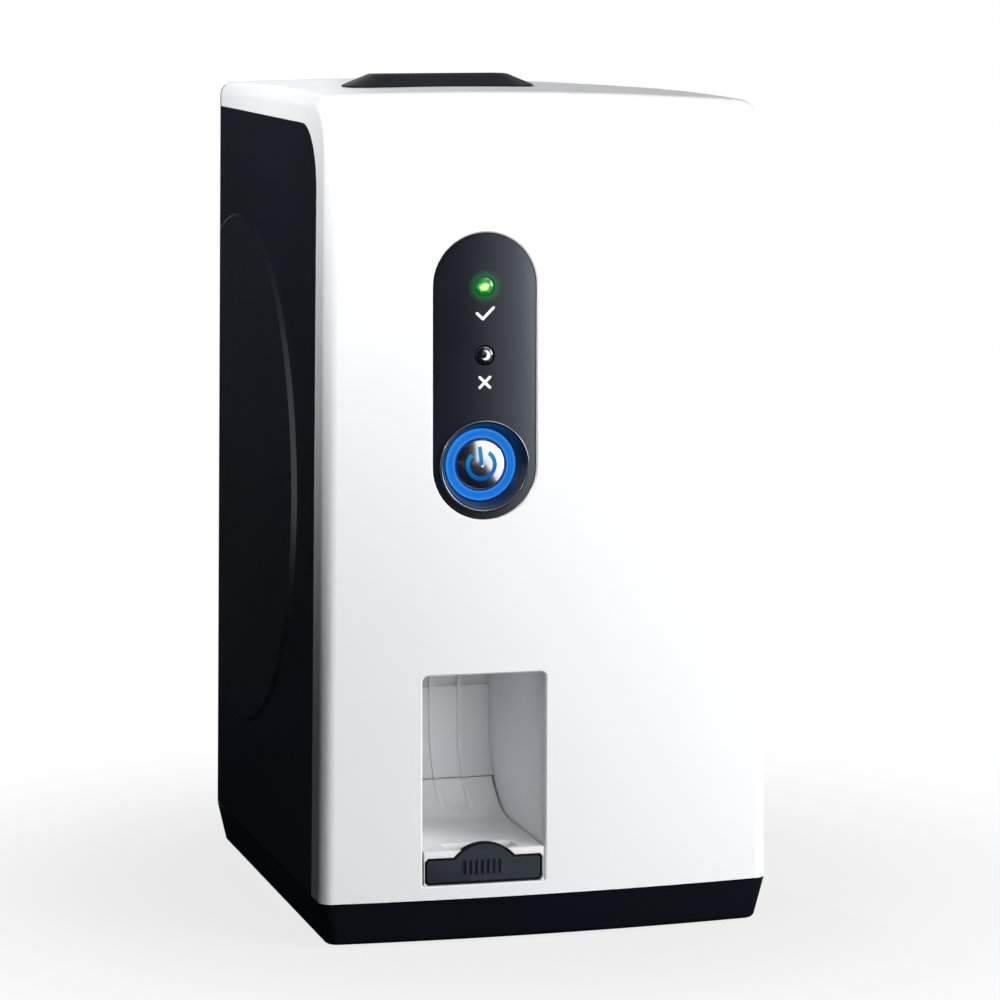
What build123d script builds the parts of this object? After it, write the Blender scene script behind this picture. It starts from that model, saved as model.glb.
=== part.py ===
# Desktop scanner for intra-oral phosphor plates
# Millimetres, +Z up, front of the housing towards -Y, origin under the middle of the housing
import os
from math import acos, atan2, cos, degrees, pi, radians, sin, sqrt, tan

from build123d import *

os.makedirs("parts", exist_ok=True)

# Driving dimensions: housing
width = 165.0
depth = 182.4
foot_proud = 1.5
skirt_height = 15.0
skirt_inset = 3.0
skirt_bottom_radius = 2.0
shadow_gap = 0.6
crown_height = 299.5
crown_peak_y = -20.0
crown_side_drop = 4.0
crown_rear_drop = 1.8
side_draft = 0.65
front_bow = 4.2
top_front_radius = 19.0
side_edge_radius = 5.0
rear_edge_radius = 2.0
opening_edge_chamfer = 0.5
wall = 3.0
base_floor = 3.0
cover_thickness = 3.0
skin_gap = 0.3

# Driving dimensions: black side panels
panel_band_front = 14.3
panel_top_drop = 11.7
panel_corner_radius = 22.0
flange_width = 4.0
flange_thickness = 1.6
swell_radius = 98.0
swell_from_rear = 39.2
swell_centre_z = 153.5
swell_height = 1.3
swell_slope = 3.5

# Driving dimensions: the line that a plate follows through the scanner
path_x = -24.2
path_y = -26.0
plate_slot_width = 42.0
plate_slot_gap = 4.6

# Driving dimensions: control panel and power button
pill_width = 37.0
pill_height = 100.0
pill_z = 201.5
pill_recess = 0.8
ready_above = 31.3
error_above = 7.4
lens_radius = 3.5
button_below = 31.3
bezel_radius = 16.2
bezel_width = 1.1
ring_radius = 12.7
ring_recess = 6.0
cap_radius = 8.4
cap_dome = 1.0
button_travel = 1.0
board_thickness = 1.6
board_depth = 15.8

# Driving dimensions: collecting bin and pull-out tray
bin_width = 44.4
bin_bottom = 22.0
bin_top = 97.0
bin_floor = 34.5
bin_back_y = -16.5
bin_sweep_radius = 30.0
bin_seam_z = 46.0
bin_corner_radius = 2.0
bin_foot_radius = 0.8
liner_wall = 1.8
guide_rib_pitch = 10.7
guide_rib_height = 1.2
guide_rib_width = 1.6
tray_clearance = 0.3
tray_floor = 2.0
tray_travel = 50.0
tab_height = 9.6
tab_thickness = 2.6
tab_hump_top = 37.0
tab_hump_radius = 14.4
finger_pocket_width = 26.0
finger_pocket_depth = 9.0

# Driving dimensions: feed cap on the top
cap_length = 69.0
cap_depth = 26.0
cap_corner_radius = 11.0
cap_height = 4.1
cap_slope_side = 9.5
cap_slope_front = 6.5
spigot_length = 53.0
spigot_depth = 13.0
spigot_drop = 9.5

# Driving dimensions: frame and plate transport
frame_span = 56.0
frame_plate_thickness = 2.0
frame_ahead = 18.0
frame_behind = 28.0
frame_foot_z = 8.0
frame_top_z = 215.0
frame_foot_width = 11.0
roller_pitch = 30.0
first_roller_z = 195.0
roller_count = 3
roller_radius = 6.0
roller_length = 42.0
nip_gap = 1.0
drive_shaft_radius = 2.5
idler_shaft_radius = 2.0
running_clearance = 0.05
gear_module = 1.25
gear_teeth = 16
pinion_teeth = 12
gear_face = 5.0
gear_backlash = 0.35
pinion_direction = -20.0

# Driving dimensions: optics and electronics
scan_z = 180.0
bench_thickness = 3.0
bench_top_z = 171.0
bench_rear_margin = 7.2
mirror_apothem = 12.0
mirror_thickness = 6.0
mirror_sides = 6
beam_y = 52.0
laser_radius = 4.5
light_guide_radius = 2.5
light_guide_z = 184.5
light_guide_y = -17.5
tube_radius = 5.5
tube_length = 42.0
main_board_z = 24.0
motor_size = 28.0
motor_length = 26.0

# Heights and planes that follow from the driving dimensions
half_depth = depth / 2
front_y = -half_depth
rear_y = half_depth
cover_y = rear_y - cover_thickness
skirt_top = foot_proud + skirt_height
shell_bottom = skirt_top + shadow_gap
floor_top = foot_proud + base_floor
form_top = crown_height + 20
bow_radius = ((width / 2) ** 2 + front_bow**2) / (2 * front_bow)
cut_start = half_depth + 5
cut_through = 5 + front_bow + wall + 1
crown_peak_x = path_x
panel_top_height = crown_height - panel_top_drop
swell_centre_y = rear_y - swell_from_rear
spigot_bottom = crown_height - spigot_drop
ready_z = pill_z + ready_above
error_z = pill_z + error_above
button_z = pill_z - button_below
bench_rear_y = rear_y - bench_rear_margin
frame_front_y = path_y - frame_ahead
frame_rear_y = path_y + frame_behind


def half_width(z):
    """Half the width of the drafted housing at height z."""
    return width / 2 - (z - skirt_top) * tan(radians(side_draft))


def front_surface_y(x, inset=0.0):
    """Where the bowed front stands at x, drawn in by inset."""
    return front_y + bow_radius - sqrt((bow_radius - inset) ** 2 - x**2)


def front_plane(y):
    """A plane that looks out of the front, at y."""
    return Plane.XZ.offset(-y)


def housing_form(inset=0.0):
    """The housing as one solid: drafted sides, bowed front, doubly crowned top."""
    side_radius = (half_width(crown_height) - crown_peak_x) ** 2 / (2 * crown_side_drop)
    fore_radius = (rear_y - crown_peak_y) ** 2 / (2 * crown_rear_drop)
    tilt = 3.0
    reach = 1.5 * width
    pivot = Vector(crown_peak_x, crown_peak_y, crown_height - fore_radius)
    crown_plane = Plane(
        origin=pivot,
        x_dir=(1, 0, 0),
        z_dir=(0, -cos(radians(tilt)), -sin(radians(tilt))),
    )
    top = fore_radius - inset
    edge = top - (side_radius - sqrt(side_radius**2 - reach**2))
    low = half_width(0) - inset
    high = half_width(form_top) - inset
    with BuildPart() as form:
        with BuildSketch(Plane.XZ):
            with BuildLine():
                Polyline((-low, 0), (low, 0), (high, form_top), (-high, form_top), close=True)
            make_face()
        extrude(amount=depth, both=True)
        with BuildSketch(Plane.XY):
            with BuildLine():
                ThreePointArc(
                    (-width, front_surface_y(width, inset)),
                    (0, front_y + inset),
                    (width, front_surface_y(width, inset)),
                )
                Polyline(
                    (width, front_surface_y(width, inset)),
                    (width, rear_y),
                    (-width, rear_y),
                    (-width, front_surface_y(width, inset)),
                )
            make_face()
        extrude(amount=form_top, mode=Mode.INTERSECT)
        with BuildSketch(crown_plane):
            with BuildLine():
                ThreePointArc((-reach, edge), (0, top), (reach, edge))
                Polyline((reach, edge), (reach, top - 2 * form_top), (-reach, top - 2 * form_top), (-reach, edge))
            make_face()
        revolve(axis=Axis(pivot, (-1, 0, 0)), revolution_arc=2 * tilt, mode=Mode.INTERSECT)
        front = form.faces().sort_by(Axis.Y)[0]
        fillet(front.edges().sort_by(Axis.Z)[-1], radius=top_front_radius - inset)
        rims = []
        for side_face in (form.faces().sort_by(Axis.X)[0], form.faces().sort_by(Axis.X)[-1]):
            for edge_of_side in side_face.edges():
                middle = edge_of_side.center()
                if middle.Z > 1 and middle.Y < rear_y - 1:
                    rims.append(edge_of_side)
        fillet(rims, radius=max(side_edge_radius - inset, 0.5))
    return form.part


outer_form = housing_form()
inner_form = housing_form(wall)
flange_form = housing_form(wall + flange_thickness)
seated_form = housing_form(wall + 0.15)
joint_gap = 0.2
screw_radius = 1.45
screw_clearance = 0.35
screw_head_radius = 3.0
screw_head_height = 2.0
boss_margin = 13.5
boss_x = width / 2 - boss_margin
boss_y = front_y + 12.2
boss_size = 11.0
rim_height = 2.5
rim_inset = wall + skin_gap
rim_thickness = 1.6
rim_top = skirt_top + rim_height
boss_bottom = rim_top + 0.5
boss_top = boss_bottom + 20
cover_screw_margin = 15.5
cover_screw_x = width / 2 - cover_screw_margin
cover_screw_low = 27.0
cover_screw_high = crown_height - 10.5
cover_boss_depth = 10.0
cover_boss_bottom = cover_screw_high - 5.0
face_y = front_surface_y(path_x)
lip_form = housing_form(rim_inset)
lip_core_form = housing_form(rim_inset + rim_thickness)


def panel_outline(grow, bottom):
    """Side view of a side panel's opening, grown outwards by a margin."""
    front = front_y + front_bow + panel_band_front - grow
    top = panel_top_height + grow
    radius = panel_corner_radius + grow
    with BuildSketch(Plane.YZ) as outline:
        with BuildLine():
            Line((front, bottom), (front, top - radius))
            CenterArc((front + radius, top - radius), radius, 90, 90)
            Polyline((front + radius, top), (depth, top), (depth, bottom), (front, bottom))
        make_face()
    return outline.sketch


def plan_outline(height, inset):
    """Plan of the housing at the top of its skirt, drawn in by an inset."""
    side = width / 2 - inset
    with BuildSketch(Plane.XY.offset(height)) as plan:
        with BuildLine():
            ThreePointArc(
                (-side, front_surface_y(side, inset)),
                (0, front_y + inset),
                (side, front_surface_y(side, inset)),
            )
            Polyline(
                (side, front_surface_y(side, inset)),
                (side, rear_y - inset),
                (-side, rear_y - inset),
                (-side, front_surface_y(side, inset)),
            )
        make_face()
        fillet(plan.vertices().group_by(Axis.Y)[0], radius=side_edge_radius)
        fillet(plan.vertices().group_by(Axis.Y)[-1], radius=rear_edge_radius)
    return plan.sketch


# Front shell: one moulding with the bowed front, the top and a narrow return at each side
with BuildPart() as shell_bosses:
    with BuildSketch(Plane.XY.offset(boss_bottom)):
        with Locations((-boss_x, boss_y - 3), (boss_x, boss_y - 3)):
            Rectangle(boss_size, boss_size + 6)
    extrude(amount=boss_top - boss_bottom)
    with BuildSketch(Plane.XZ.offset(-(cover_y - joint_gap))):
        with Locations((-cover_screw_x, cover_boss_bottom), (cover_screw_x, cover_boss_bottom)):
            Rectangle(boss_size, form_top - cover_boss_bottom, align=(Align.CENTER, Align.MIN))
    extrude(amount=cover_boss_depth)
    add(outer_form, mode=Mode.INTERSECT)

with BuildPart() as front_shell:
    add(outer_form)
    add(inner_form, mode=Mode.SUBTRACT)
    for side in (-1, 1):
        extrude(panel_outline(0, 0), amount=side * width, mode=Mode.SUBTRACT)
    add(shell_bosses.part)
    split(bisect_by=Plane.XY.offset(shell_bottom), keep=Keep.TOP)
    split(bisect_by=Plane.XZ.offset(-(cover_y - joint_gap)), keep=Keep.TOP)
    with BuildSketch(front_plane(-cut_start)) as bin_opening:
        with Locations((path_x, (bin_bottom + bin_top) / 2)):
            Rectangle(bin_width, bin_top - bin_bottom)
        fillet(bin_opening.vertices().group_by(Axis.Y)[-1], radius=bin_corner_radius)
        fillet(bin_opening.vertices().group_by(Axis.Y)[0], radius=bin_foot_radius)
    extrude(amount=-cut_through, mode=Mode.SUBTRACT)
    with BuildSketch(front_plane(-cut_start)):
        with Locations((path_x, pill_z)):
            SlotOverall(pill_height, pill_width, rotation=90)
    extrude(amount=-cut_through, mode=Mode.SUBTRACT)
    with BuildSketch(Plane.XY.offset(crown_height + 5)):
        with Locations((path_x, path_y)):
            Rectangle(spigot_length + 2 * skin_gap, spigot_depth + 2 * skin_gap)
    extrude(amount=-20, mode=Mode.SUBTRACT)
    with BuildSketch(Plane.XY.offset(boss_bottom)):
        with Locations((-boss_x, boss_y), (boss_x, boss_y)):
            Circle(screw_radius + 0.05)
    extrude(amount=boss_top - boss_bottom - 4, mode=Mode.SUBTRACT)
    with BuildSketch(Plane.XZ.offset(-cover_y)):
        with Locations((-cover_screw_x, cover_screw_high), (cover_screw_x, cover_screw_high)):
            Circle(screw_radius + 0.05)
    extrude(amount=cover_boss_depth - 1, mode=Mode.SUBTRACT)
    opening_rims = []
    for rim_edge in front_shell.edges():
        rim_spot = rim_edge.center()
        outside = rim_spot.Y < front_surface_y(rim_spot.X) + 0.3
        above_bin = bin_bottom - 0.1 < rim_spot.Z < bin_top + 0.1
        in_pill = abs(rim_spot.Z - pill_z) < pill_height / 2 + 0.1
        across = abs(rim_spot.X - path_x)
        round_bin = above_bin and across < bin_width / 2 + 0.1
        round_pill = in_pill and across < pill_width / 2 + 0.1
        if outside and (round_bin or round_pill):
            opening_rims.append(rim_edge)
    chamfer(opening_rims, length=opening_edge_chamfer)
front_shell.part.label = "front_shell"
export_step(front_shell.part, "parts/front_shell.step")

# Side panels: plates that fill the openings of the shell, each with a rebated edge and a round swell
swell_rear_height = 0.2
swell_root = 2.0
swell_rear_reach = rear_y - swell_centre_y
swell_lean = degrees(atan2(swell_height - swell_rear_height, swell_radius + swell_rear_reach))
swell_middle_height = swell_rear_height + swell_rear_reach * tan(radians(swell_lean))
flange_bottom = rim_top + 1
flange_top = panel_top_height + 1.2
flange_end_y = cover_y - 10.2
flange_inner_x = width / 2 - 9.0
outward = Vector(-cos(radians(side_draft)), 0, sin(radians(side_draft)))
leaning = outward * cos(radians(swell_lean)) + Vector(0, sin(radians(swell_lean)), 0)
swell_centre = Vector(-half_width(swell_centre_z), swell_centre_y, swell_centre_z)
with BuildPart() as flange:
    extrude(panel_outline(flange_width, flange_bottom), amount=-width)
    extrude(panel_outline(-2 * flange_width, 0), amount=-width, mode=Mode.SUBTRACT)
    add(inner_form, mode=Mode.INTERSECT)
    add(flange_form, mode=Mode.SUBTRACT)
    split(bisect_by=Plane.XZ.offset(-flange_end_y), keep=Keep.TOP)
    split(bisect_by=Plane.XY.offset(flange_top), keep=Keep.BOTTOM)
    split(bisect_by=Plane.YZ.offset(-flange_inner_x), keep=Keep.BOTTOM)

with BuildPart() as left_side_panel:
    extrude(panel_outline(-skin_gap, shell_bottom), amount=-width)
    add(outer_form, mode=Mode.INTERSECT)
    add(inner_form, mode=Mode.SUBTRACT)
    with Locations(Plane(origin=swell_centre + outward * swell_middle_height, z_dir=leaning)):
        Cone(
            bottom_radius=swell_radius + swell_slope * (swell_root / swell_height - 1),
            top_radius=swell_radius - swell_slope,
            height=swell_root,
            align=(Align.CENTER, Align.CENTER, Align.MAX),
        )
    add(flange.part)
    split(bisect_by=Plane.XZ.offset(-(cover_y - joint_gap)), keep=Keep.TOP)
left_side_panel.part.label = "left_side_panel"
export_step(left_side_panel.part, "parts/left_side_panel.step")

with BuildPart() as right_side_panel:
    add(mirror(left_side_panel.part, about=Plane.YZ))
right_side_panel.part.label = "right_side_panel"
export_step(right_side_panel.part, "parts/right_side_panel.step")

# Rear cover: closes the shell, with vent slots, socket openings and a lip that locates it
vent_length = 46.0
vent_width = 2.6
vent_pitch = 6.5
vent_rows = 9
vent_z = 226.0
lip_depth = 5.0
lip_bottom = 34.0
lip_corner_x = width / 2 - 25.5
lip_corner_z = crown_height - 20.5
board_left = 18.0
board_right = 61.0
board_front = -50.0
board_rear = rear_y - 9.2
socket_gap = 0.3
data_socket_x = board_right - 12.0
data_socket_width = 12.0
data_socket_height = 11.0
inlet_x = board_left + 6.0
inlet_width = 9.0
inlet_height = 11.0
board_top_z = main_board_z + board_thickness
cover_screw_spots = (
    (-cover_screw_x, cover_screw_low),
    (cover_screw_x, cover_screw_low),
    (-cover_screw_x, cover_screw_high),
    (cover_screw_x, cover_screw_high),
)
with BuildPart() as cover_lip:
    add(lip_form)
    add(lip_core_form, mode=Mode.SUBTRACT)
    split(bisect_by=Plane.XZ.offset(-(cover_y - lip_depth)), keep=Keep.BOTTOM)
    split(bisect_by=Plane.XZ.offset(-cover_y), keep=Keep.TOP)
    split(bisect_by=Plane.XY.offset(lip_bottom), keep=Keep.TOP)
    with BuildSketch(front_plane(rear_y)):
        with Locations((-width / 2, crown_height), (width / 2, crown_height)):
            Rectangle(width - 2 * lip_corner_x, 2 * (crown_height - lip_corner_z))
    extrude(amount=4 * lip_depth, mode=Mode.SUBTRACT)

with BuildPart() as rear_cover:
    add(outer_form)
    split(bisect_by=Plane.XZ.offset(-cover_y), keep=Keep.BOTTOM)
    split(bisect_by=Plane.XY.offset(shell_bottom), keep=Keep.TOP)
    back_edges = rear_cover.faces().sort_by(Axis.Y)[-1].edges()
    fillet(back_edges.filter_by(lambda edge: edge.center().Z > shell_bottom + 1), radius=rear_edge_radius)
    add(cover_lip.part)
    with BuildSketch(front_plane(rear_y)):
        with Locations((0, vent_z)):
            with GridLocations(vent_length + 12, vent_pitch, 2, vent_rows):
                SlotOverall(vent_length, vent_width)
        with Locations((data_socket_x, board_top_z + data_socket_height / 2)):
            Rectangle(data_socket_width + 2 * socket_gap, data_socket_height + 2 * socket_gap)
        with Locations((inlet_x, board_top_z + inlet_height / 2)):
            Rectangle(inlet_width + 2 * socket_gap, inlet_height + 2 * socket_gap)
        with Locations(*cover_screw_spots):
            Circle(screw_radius + screw_clearance)
    extrude(amount=cover_thickness, mode=Mode.SUBTRACT)
    with BuildSketch(front_plane(rear_y)):
        with Locations(*cover_screw_spots):
            Circle(screw_head_radius + screw_clearance)
    extrude(amount=screw_head_height, mode=Mode.SUBTRACT)
rear_cover.part.label = "rear_cover"
export_step(rear_cover.part, "parts/rear_cover.step")

# Base pan: black tapered skirt and floor, with a locating rim and the posts that carry the inside
post_radius = 5.5
post_hole_radius = screw_radius + screw_clearance
head_bore_radius = screw_head_radius + 0.4
head_seat_z = 14.0
foot_boss_radius = 4.0
foot_screw_y = (path_y - 8.0, path_y + 18.0)
foot_screw_x = (path_x - frame_span / 2 - 7.5, path_x + frame_span / 2 + 7.5)
board_post_radius = 3.0
board_screw_radius = 1.2
board_post_x = (board_left + 4, board_right - 4)
board_post_y = (board_front + 4, board_rear - 14)
pedestal_radius = 3.0
pedestal_reach = 20.5
pedestal_y = (front_y + 13.2, path_y + 5.0)
liner_bottom = 20.0
rear_post_front = cover_y - 9.2
rear_post_top = 32.0
rubber_foot_radius = 6.0
rubber_foot_x = width / 2 - 16.5
rubber_foot_y = (front_y + 30.2, rear_y - 21.2)
rubber_foot_recess = 1.0
frame_foot_spots = [(x, y) for x in foot_screw_x for y in foot_screw_y]
board_post_spots = [(x, y) for x in board_post_x for y in board_post_y]
pedestal_spots = [(path_x + side * pedestal_reach, y) for side in (-1, 1) for y in pedestal_y]
rubber_foot_spots = [(side * rubber_foot_x, y) for side in (-1, 1) for y in rubber_foot_y]
with BuildPart() as base_pan:
    loft([plan_outline(foot_proud, skirt_inset), plan_outline(skirt_top, 0)])
    fillet(base_pan.faces().sort_by(Axis.Z)[0].edges(), radius=skirt_bottom_radius)
    loft(
        [plan_outline(floor_top, skirt_inset + wall), plan_outline(skirt_top, rim_inset + rim_thickness)],
        mode=Mode.SUBTRACT,
    )
    extrude(plan_outline(skirt_top, rim_inset), amount=rim_height)
    extrude(plan_outline(skirt_top - 0.5, rim_inset + rim_thickness), amount=rim_height + 1, mode=Mode.SUBTRACT)
    with BuildSketch(Plane.XY.offset(floor_top)):
        with Locations((-boss_x, boss_y), (boss_x, boss_y)):
            Circle(post_radius)
    extrude(amount=boss_bottom - joint_gap - floor_top)
    with BuildSketch(Plane.XY.offset(floor_top)):
        with Locations(*frame_foot_spots):
            Circle(foot_boss_radius)
    extrude(amount=frame_foot_z - floor_top)
    with BuildSketch(Plane.XY.offset(floor_top)):
        with Locations(*board_post_spots):
            Circle(board_post_radius)
    extrude(amount=main_board_z - floor_top)
    with BuildSketch(Plane.XY.offset(floor_top)):
        with Locations(*pedestal_spots):
            Circle(pedestal_radius)
    extrude(amount=liner_bottom - joint_gap - floor_top)
    with BuildSketch(Plane.XY.offset(floor_top)):
        for side in (-1, 1):
            with Locations((side * cover_screw_x, rear_post_front)):
                Rectangle(boss_size, rear_y - rim_inset - rear_post_front, align=(Align.CENTER, Align.MIN))
    extrude(amount=rear_post_top - floor_top)
    with BuildSketch(Plane.XY):
        with Locations((-boss_x, boss_y), (boss_x, boss_y)):
            Circle(head_bore_radius)
    extrude(amount=head_seat_z, mode=Mode.SUBTRACT)
    with BuildSketch(Plane.XY):
        with Locations((-boss_x, boss_y), (boss_x, boss_y)):
            Circle(post_hole_radius)
    extrude(amount=boss_bottom, mode=Mode.SUBTRACT)
    with BuildSketch(Plane.XY.offset(frame_foot_z)):
        with Locations(*frame_foot_spots):
            Circle(screw_radius + 0.05)
    extrude(amount=-frame_foot_z + floor_top + 0.2, mode=Mode.SUBTRACT)
    with BuildSketch(Plane.XY.offset(main_board_z)):
        with Locations(*board_post_spots):
            Circle(board_screw_radius + 0.05)
    extrude(amount=-8, mode=Mode.SUBTRACT)
    with BuildSketch(front_plane(rear_y)):
        with Locations((-cover_screw_x, cover_screw_low), (cover_screw_x, cover_screw_low)):
            Circle(screw_radius + 0.05)
    extrude(amount=rear_y - rear_post_front - 1, mode=Mode.SUBTRACT)
    with BuildSketch(Plane.XY):
        with Locations(*rubber_foot_spots):
            Circle(rubber_foot_radius + 0.1)
    extrude(amount=foot_proud + rubber_foot_recess, mode=Mode.SUBTRACT)
base_pan.part.label = "base_pan"
export_step(base_pan.part, "parts/base_pan.step")

# Rubber feet: four glued pads in recesses of the base
with BuildPart() as rubber_feet:
    with BuildSketch(Plane.XY):
        with Locations(*rubber_foot_spots):
            Circle(rubber_foot_radius)
    extrude(amount=foot_proud + rubber_foot_recess)
    chamfer(rubber_feet.faces().group_by(Axis.Z)[0].edges(), length=0.5)
rubber_feet.part.label = "rubber_feet"
export_step(rubber_feet.part, "parts/rubber_feet.step")

# Feed cap: low black frustum over the plate slot, its foot follows the crown of the housing
cap_top = crown_height + cap_height
cap_rim_top = crown_height + 0.2
spigot_pocket_width = 44.6
spigot_pocket_depth = 7.0
brush_top = crown_height - 3.5
with BuildPart() as feed_cap:
    with BuildSketch(Plane.XY.offset(crown_height - 4)):
        with Locations((path_x, path_y)):
            RectangleRounded(cap_length, cap_depth, cap_corner_radius)
    extrude(amount=cap_rim_top - crown_height + 4)
    with BuildSketch(Plane.XY.offset(cap_rim_top)):
        with Locations((path_x, path_y)):
            RectangleRounded(cap_length, cap_depth, cap_corner_radius)
    with BuildSketch(Plane.XY.offset(cap_top)):
        with Locations((path_x, path_y)):
            RectangleRounded(
                cap_length - 2 * cap_slope_side,
                cap_depth - 2 * cap_slope_front,
                cap_corner_radius - cap_slope_front,
            )
    loft()
    fillet(feed_cap.faces().sort_by(Axis.Z)[-1].edges(), radius=0.8)
    add(outer_form, mode=Mode.SUBTRACT)
    with BuildSketch(Plane.XY.offset(spigot_bottom)):
        with Locations((path_x, path_y)):
            Rectangle(spigot_length, spigot_depth)
    extrude(amount=crown_height + 1 - spigot_bottom)
    with BuildSketch(Plane.XY.offset(spigot_bottom)):
        with Locations((path_x, path_y)):
            Rectangle(plate_slot_width, plate_slot_gap)
    extrude(amount=2 * (cap_top - spigot_bottom), mode=Mode.SUBTRACT)
    with BuildSketch(Plane.XY.offset(spigot_bottom)):
        with Locations((path_x, path_y)):
            Rectangle(spigot_pocket_width, spigot_pocket_depth)
    extrude(amount=brush_top - spigot_bottom, mode=Mode.SUBTRACT)
feed_cap.part.label = "feed_cap"
export_step(feed_cap.part, "parts/feed_cap.step")

# Slot brushes: two felt strips that keep light and dust out of the slot
brush_gap = 0.8
brush_bottom = spigot_bottom + 0.5
with BuildPart() as slot_brushes:
    with BuildSketch(Plane.XY.offset(brush_bottom)):
        with Locations((path_x, path_y)):
            with GridLocations(0, (spigot_pocket_depth + brush_gap) / 2, 1, 2):
                Rectangle(spigot_pocket_width - 0.2, (spigot_pocket_depth - brush_gap) / 2)
    extrude(amount=brush_top - brush_bottom)
slot_brushes.part.label = "slot_brushes"
export_step(slot_brushes.part, "parts/slot_brushes.step")

# Feed guide: funnel between the cap and the first pair of rollers, standing on the frame
guide_top = spigot_bottom - 0.5
guide_neck_z = frame_top_z + 2
guide_wall = 1.5
guide_neck_gap = 2.6
guide_mouth_gap = 9.0
guide_flange_depth = 30.0
frame_left_x = path_x - frame_span / 2
frame_right_x = path_x + frame_span / 2
with BuildPart() as guide_hollow:
    with BuildSketch(Plane.XY.offset(guide_neck_z)):
        with Locations((path_x, path_y)):
            Rectangle(plate_slot_width + 2, guide_neck_gap)
    with BuildSketch(Plane.XY.offset(guide_top)):
        with Locations((path_x, path_y)):
            Rectangle(plate_slot_width + 7, guide_mouth_gap)
    loft()
    with BuildSketch(Plane.XY.offset(frame_top_z - 6)):
        with Locations((path_x, path_y)):
            Rectangle(plate_slot_width + 2, guide_neck_gap)
    extrude(amount=guide_neck_z - frame_top_z + 6)

with BuildPart() as feed_guide:
    with BuildSketch(Plane.XY.offset(guide_neck_z)):
        with Locations((path_x, path_y)):
            Rectangle(plate_slot_width + 2 + 2 * guide_wall, guide_neck_gap + 2 * guide_wall)
    with BuildSketch(Plane.XY.offset(guide_top)):
        with Locations((path_x, path_y)):
            Rectangle(plate_slot_width + 7 + 2 * guide_wall, guide_mouth_gap + 2 * guide_wall)
    loft()
    with BuildSketch(Plane.XY.offset(frame_top_z)):
        with Locations((path_x, path_y)):
            Rectangle(frame_span + 2 * frame_plate_thickness, guide_flange_depth)
    extrude(amount=guide_neck_z - frame_top_z)
    with BuildSketch(Plane.XY.offset(frame_top_z)):
        with Locations((path_x, path_y)):
            Rectangle(plate_slot_width + 2 + 2 * guide_wall, guide_neck_gap + 2 * guide_wall)
    extrude(amount=-6)
    add(guide_hollow.part, mode=Mode.SUBTRACT)
feed_guide.part.label = "feed_guide"
export_step(feed_guide.part, "parts/feed_guide.step")

# Control panel: sunken black pill with two lamp holes and the well of the power button
panel_back = front_y + 6.0
pill_gap = 0.25
seat_width = 42.0
seat_height = 105.0
well_radius = 15.1
well_foot_radius = 12.9
well_foot_y = face_y + ring_recess + 0.5
well_wall = 1.7
well_back = front_y + 12.2
bezel_seat_y = face_y + 2.2
lens_gap = 0.1
lens_flange_radius = 4.6
lens_flange_y = front_y + 4.0
board_front_y = front_y + board_depth
board_x = path_x
board_width = 34.0
board_height = 92.0
board_screw_x = board_width / 2 - 4
board_screw_z = board_height / 2 - 5
front_boss_spots = [(board_x + a * board_screw_x, pill_z + b * board_screw_z) for a in (-1, 1) for b in (-1, 1)]
pill_form = housing_form(pill_recess)
with BuildPart() as pill_body:
    with BuildSketch(front_plane(panel_back)):
        with Locations((path_x, pill_z)):
            SlotOverall(pill_height - 2 * pill_gap, pill_width - 2 * pill_gap, rotation=90)
    extrude(amount=cut_through)
    add(pill_form, mode=Mode.INTERSECT)

with BuildPart() as pill_seat:
    with BuildSketch(front_plane(panel_back)):
        with Locations((path_x, pill_z)):
            SlotOverall(seat_height, seat_width, rotation=90)
    extrude(amount=cut_through)
    add(seated_form, mode=Mode.INTERSECT)

with BuildPart() as control_panel:
    add(pill_body.part)
    add(pill_seat.part)
    with BuildSketch(front_plane(well_back)):
        with Locations((path_x, button_z)):
            Circle(well_radius + well_wall)
    extrude(amount=well_back - panel_back + 1)
    with BuildSketch(front_plane(board_front_y)):
        with Locations(*front_boss_spots):
            Circle(2.6)
    extrude(amount=board_front_y - panel_back)
    with BuildSketch(front_plane(well_foot_y)):
        with Locations((path_x, button_z)):
            Circle(well_foot_radius)
    with BuildSketch(front_plane(face_y - 1)):
        with Locations((path_x, button_z)):
            Circle(well_radius + 0.35)
    loft(mode=Mode.SUBTRACT)
    with BuildSketch(front_plane(well_foot_y)):
        with Locations((path_x, button_z)):
            Circle(ring_radius + 0.05)
    extrude(amount=-20, mode=Mode.SUBTRACT)
    with BuildSketch(front_plane(bezel_seat_y)):
        with Locations((path_x, button_z)):
            Circle(bezel_radius + 0.05)
            Circle(well_radius, mode=Mode.SUBTRACT)
    extrude(amount=5, mode=Mode.SUBTRACT)
    with BuildSketch(front_plane(panel_back)):
        with Locations((path_x, ready_z), (path_x, error_z)):
            Circle(lens_radius + lens_gap)
    extrude(amount=cut_through, mode=Mode.SUBTRACT)
    with BuildSketch(front_plane(panel_back)):
        with Locations((path_x, ready_z), (path_x, error_z)):
            Circle(lens_flange_radius + lens_gap)
    extrude(amount=panel_back - lens_flange_y, mode=Mode.SUBTRACT)
    with BuildSketch(front_plane(board_front_y)):
        with Locations(*front_boss_spots):
            Circle(board_screw_radius + 0.05)
    extrude(amount=8, mode=Mode.SUBTRACT)
control_panel.part.label = "control_panel"
export_step(control_panel.part, "parts/control_panel.step")

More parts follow.
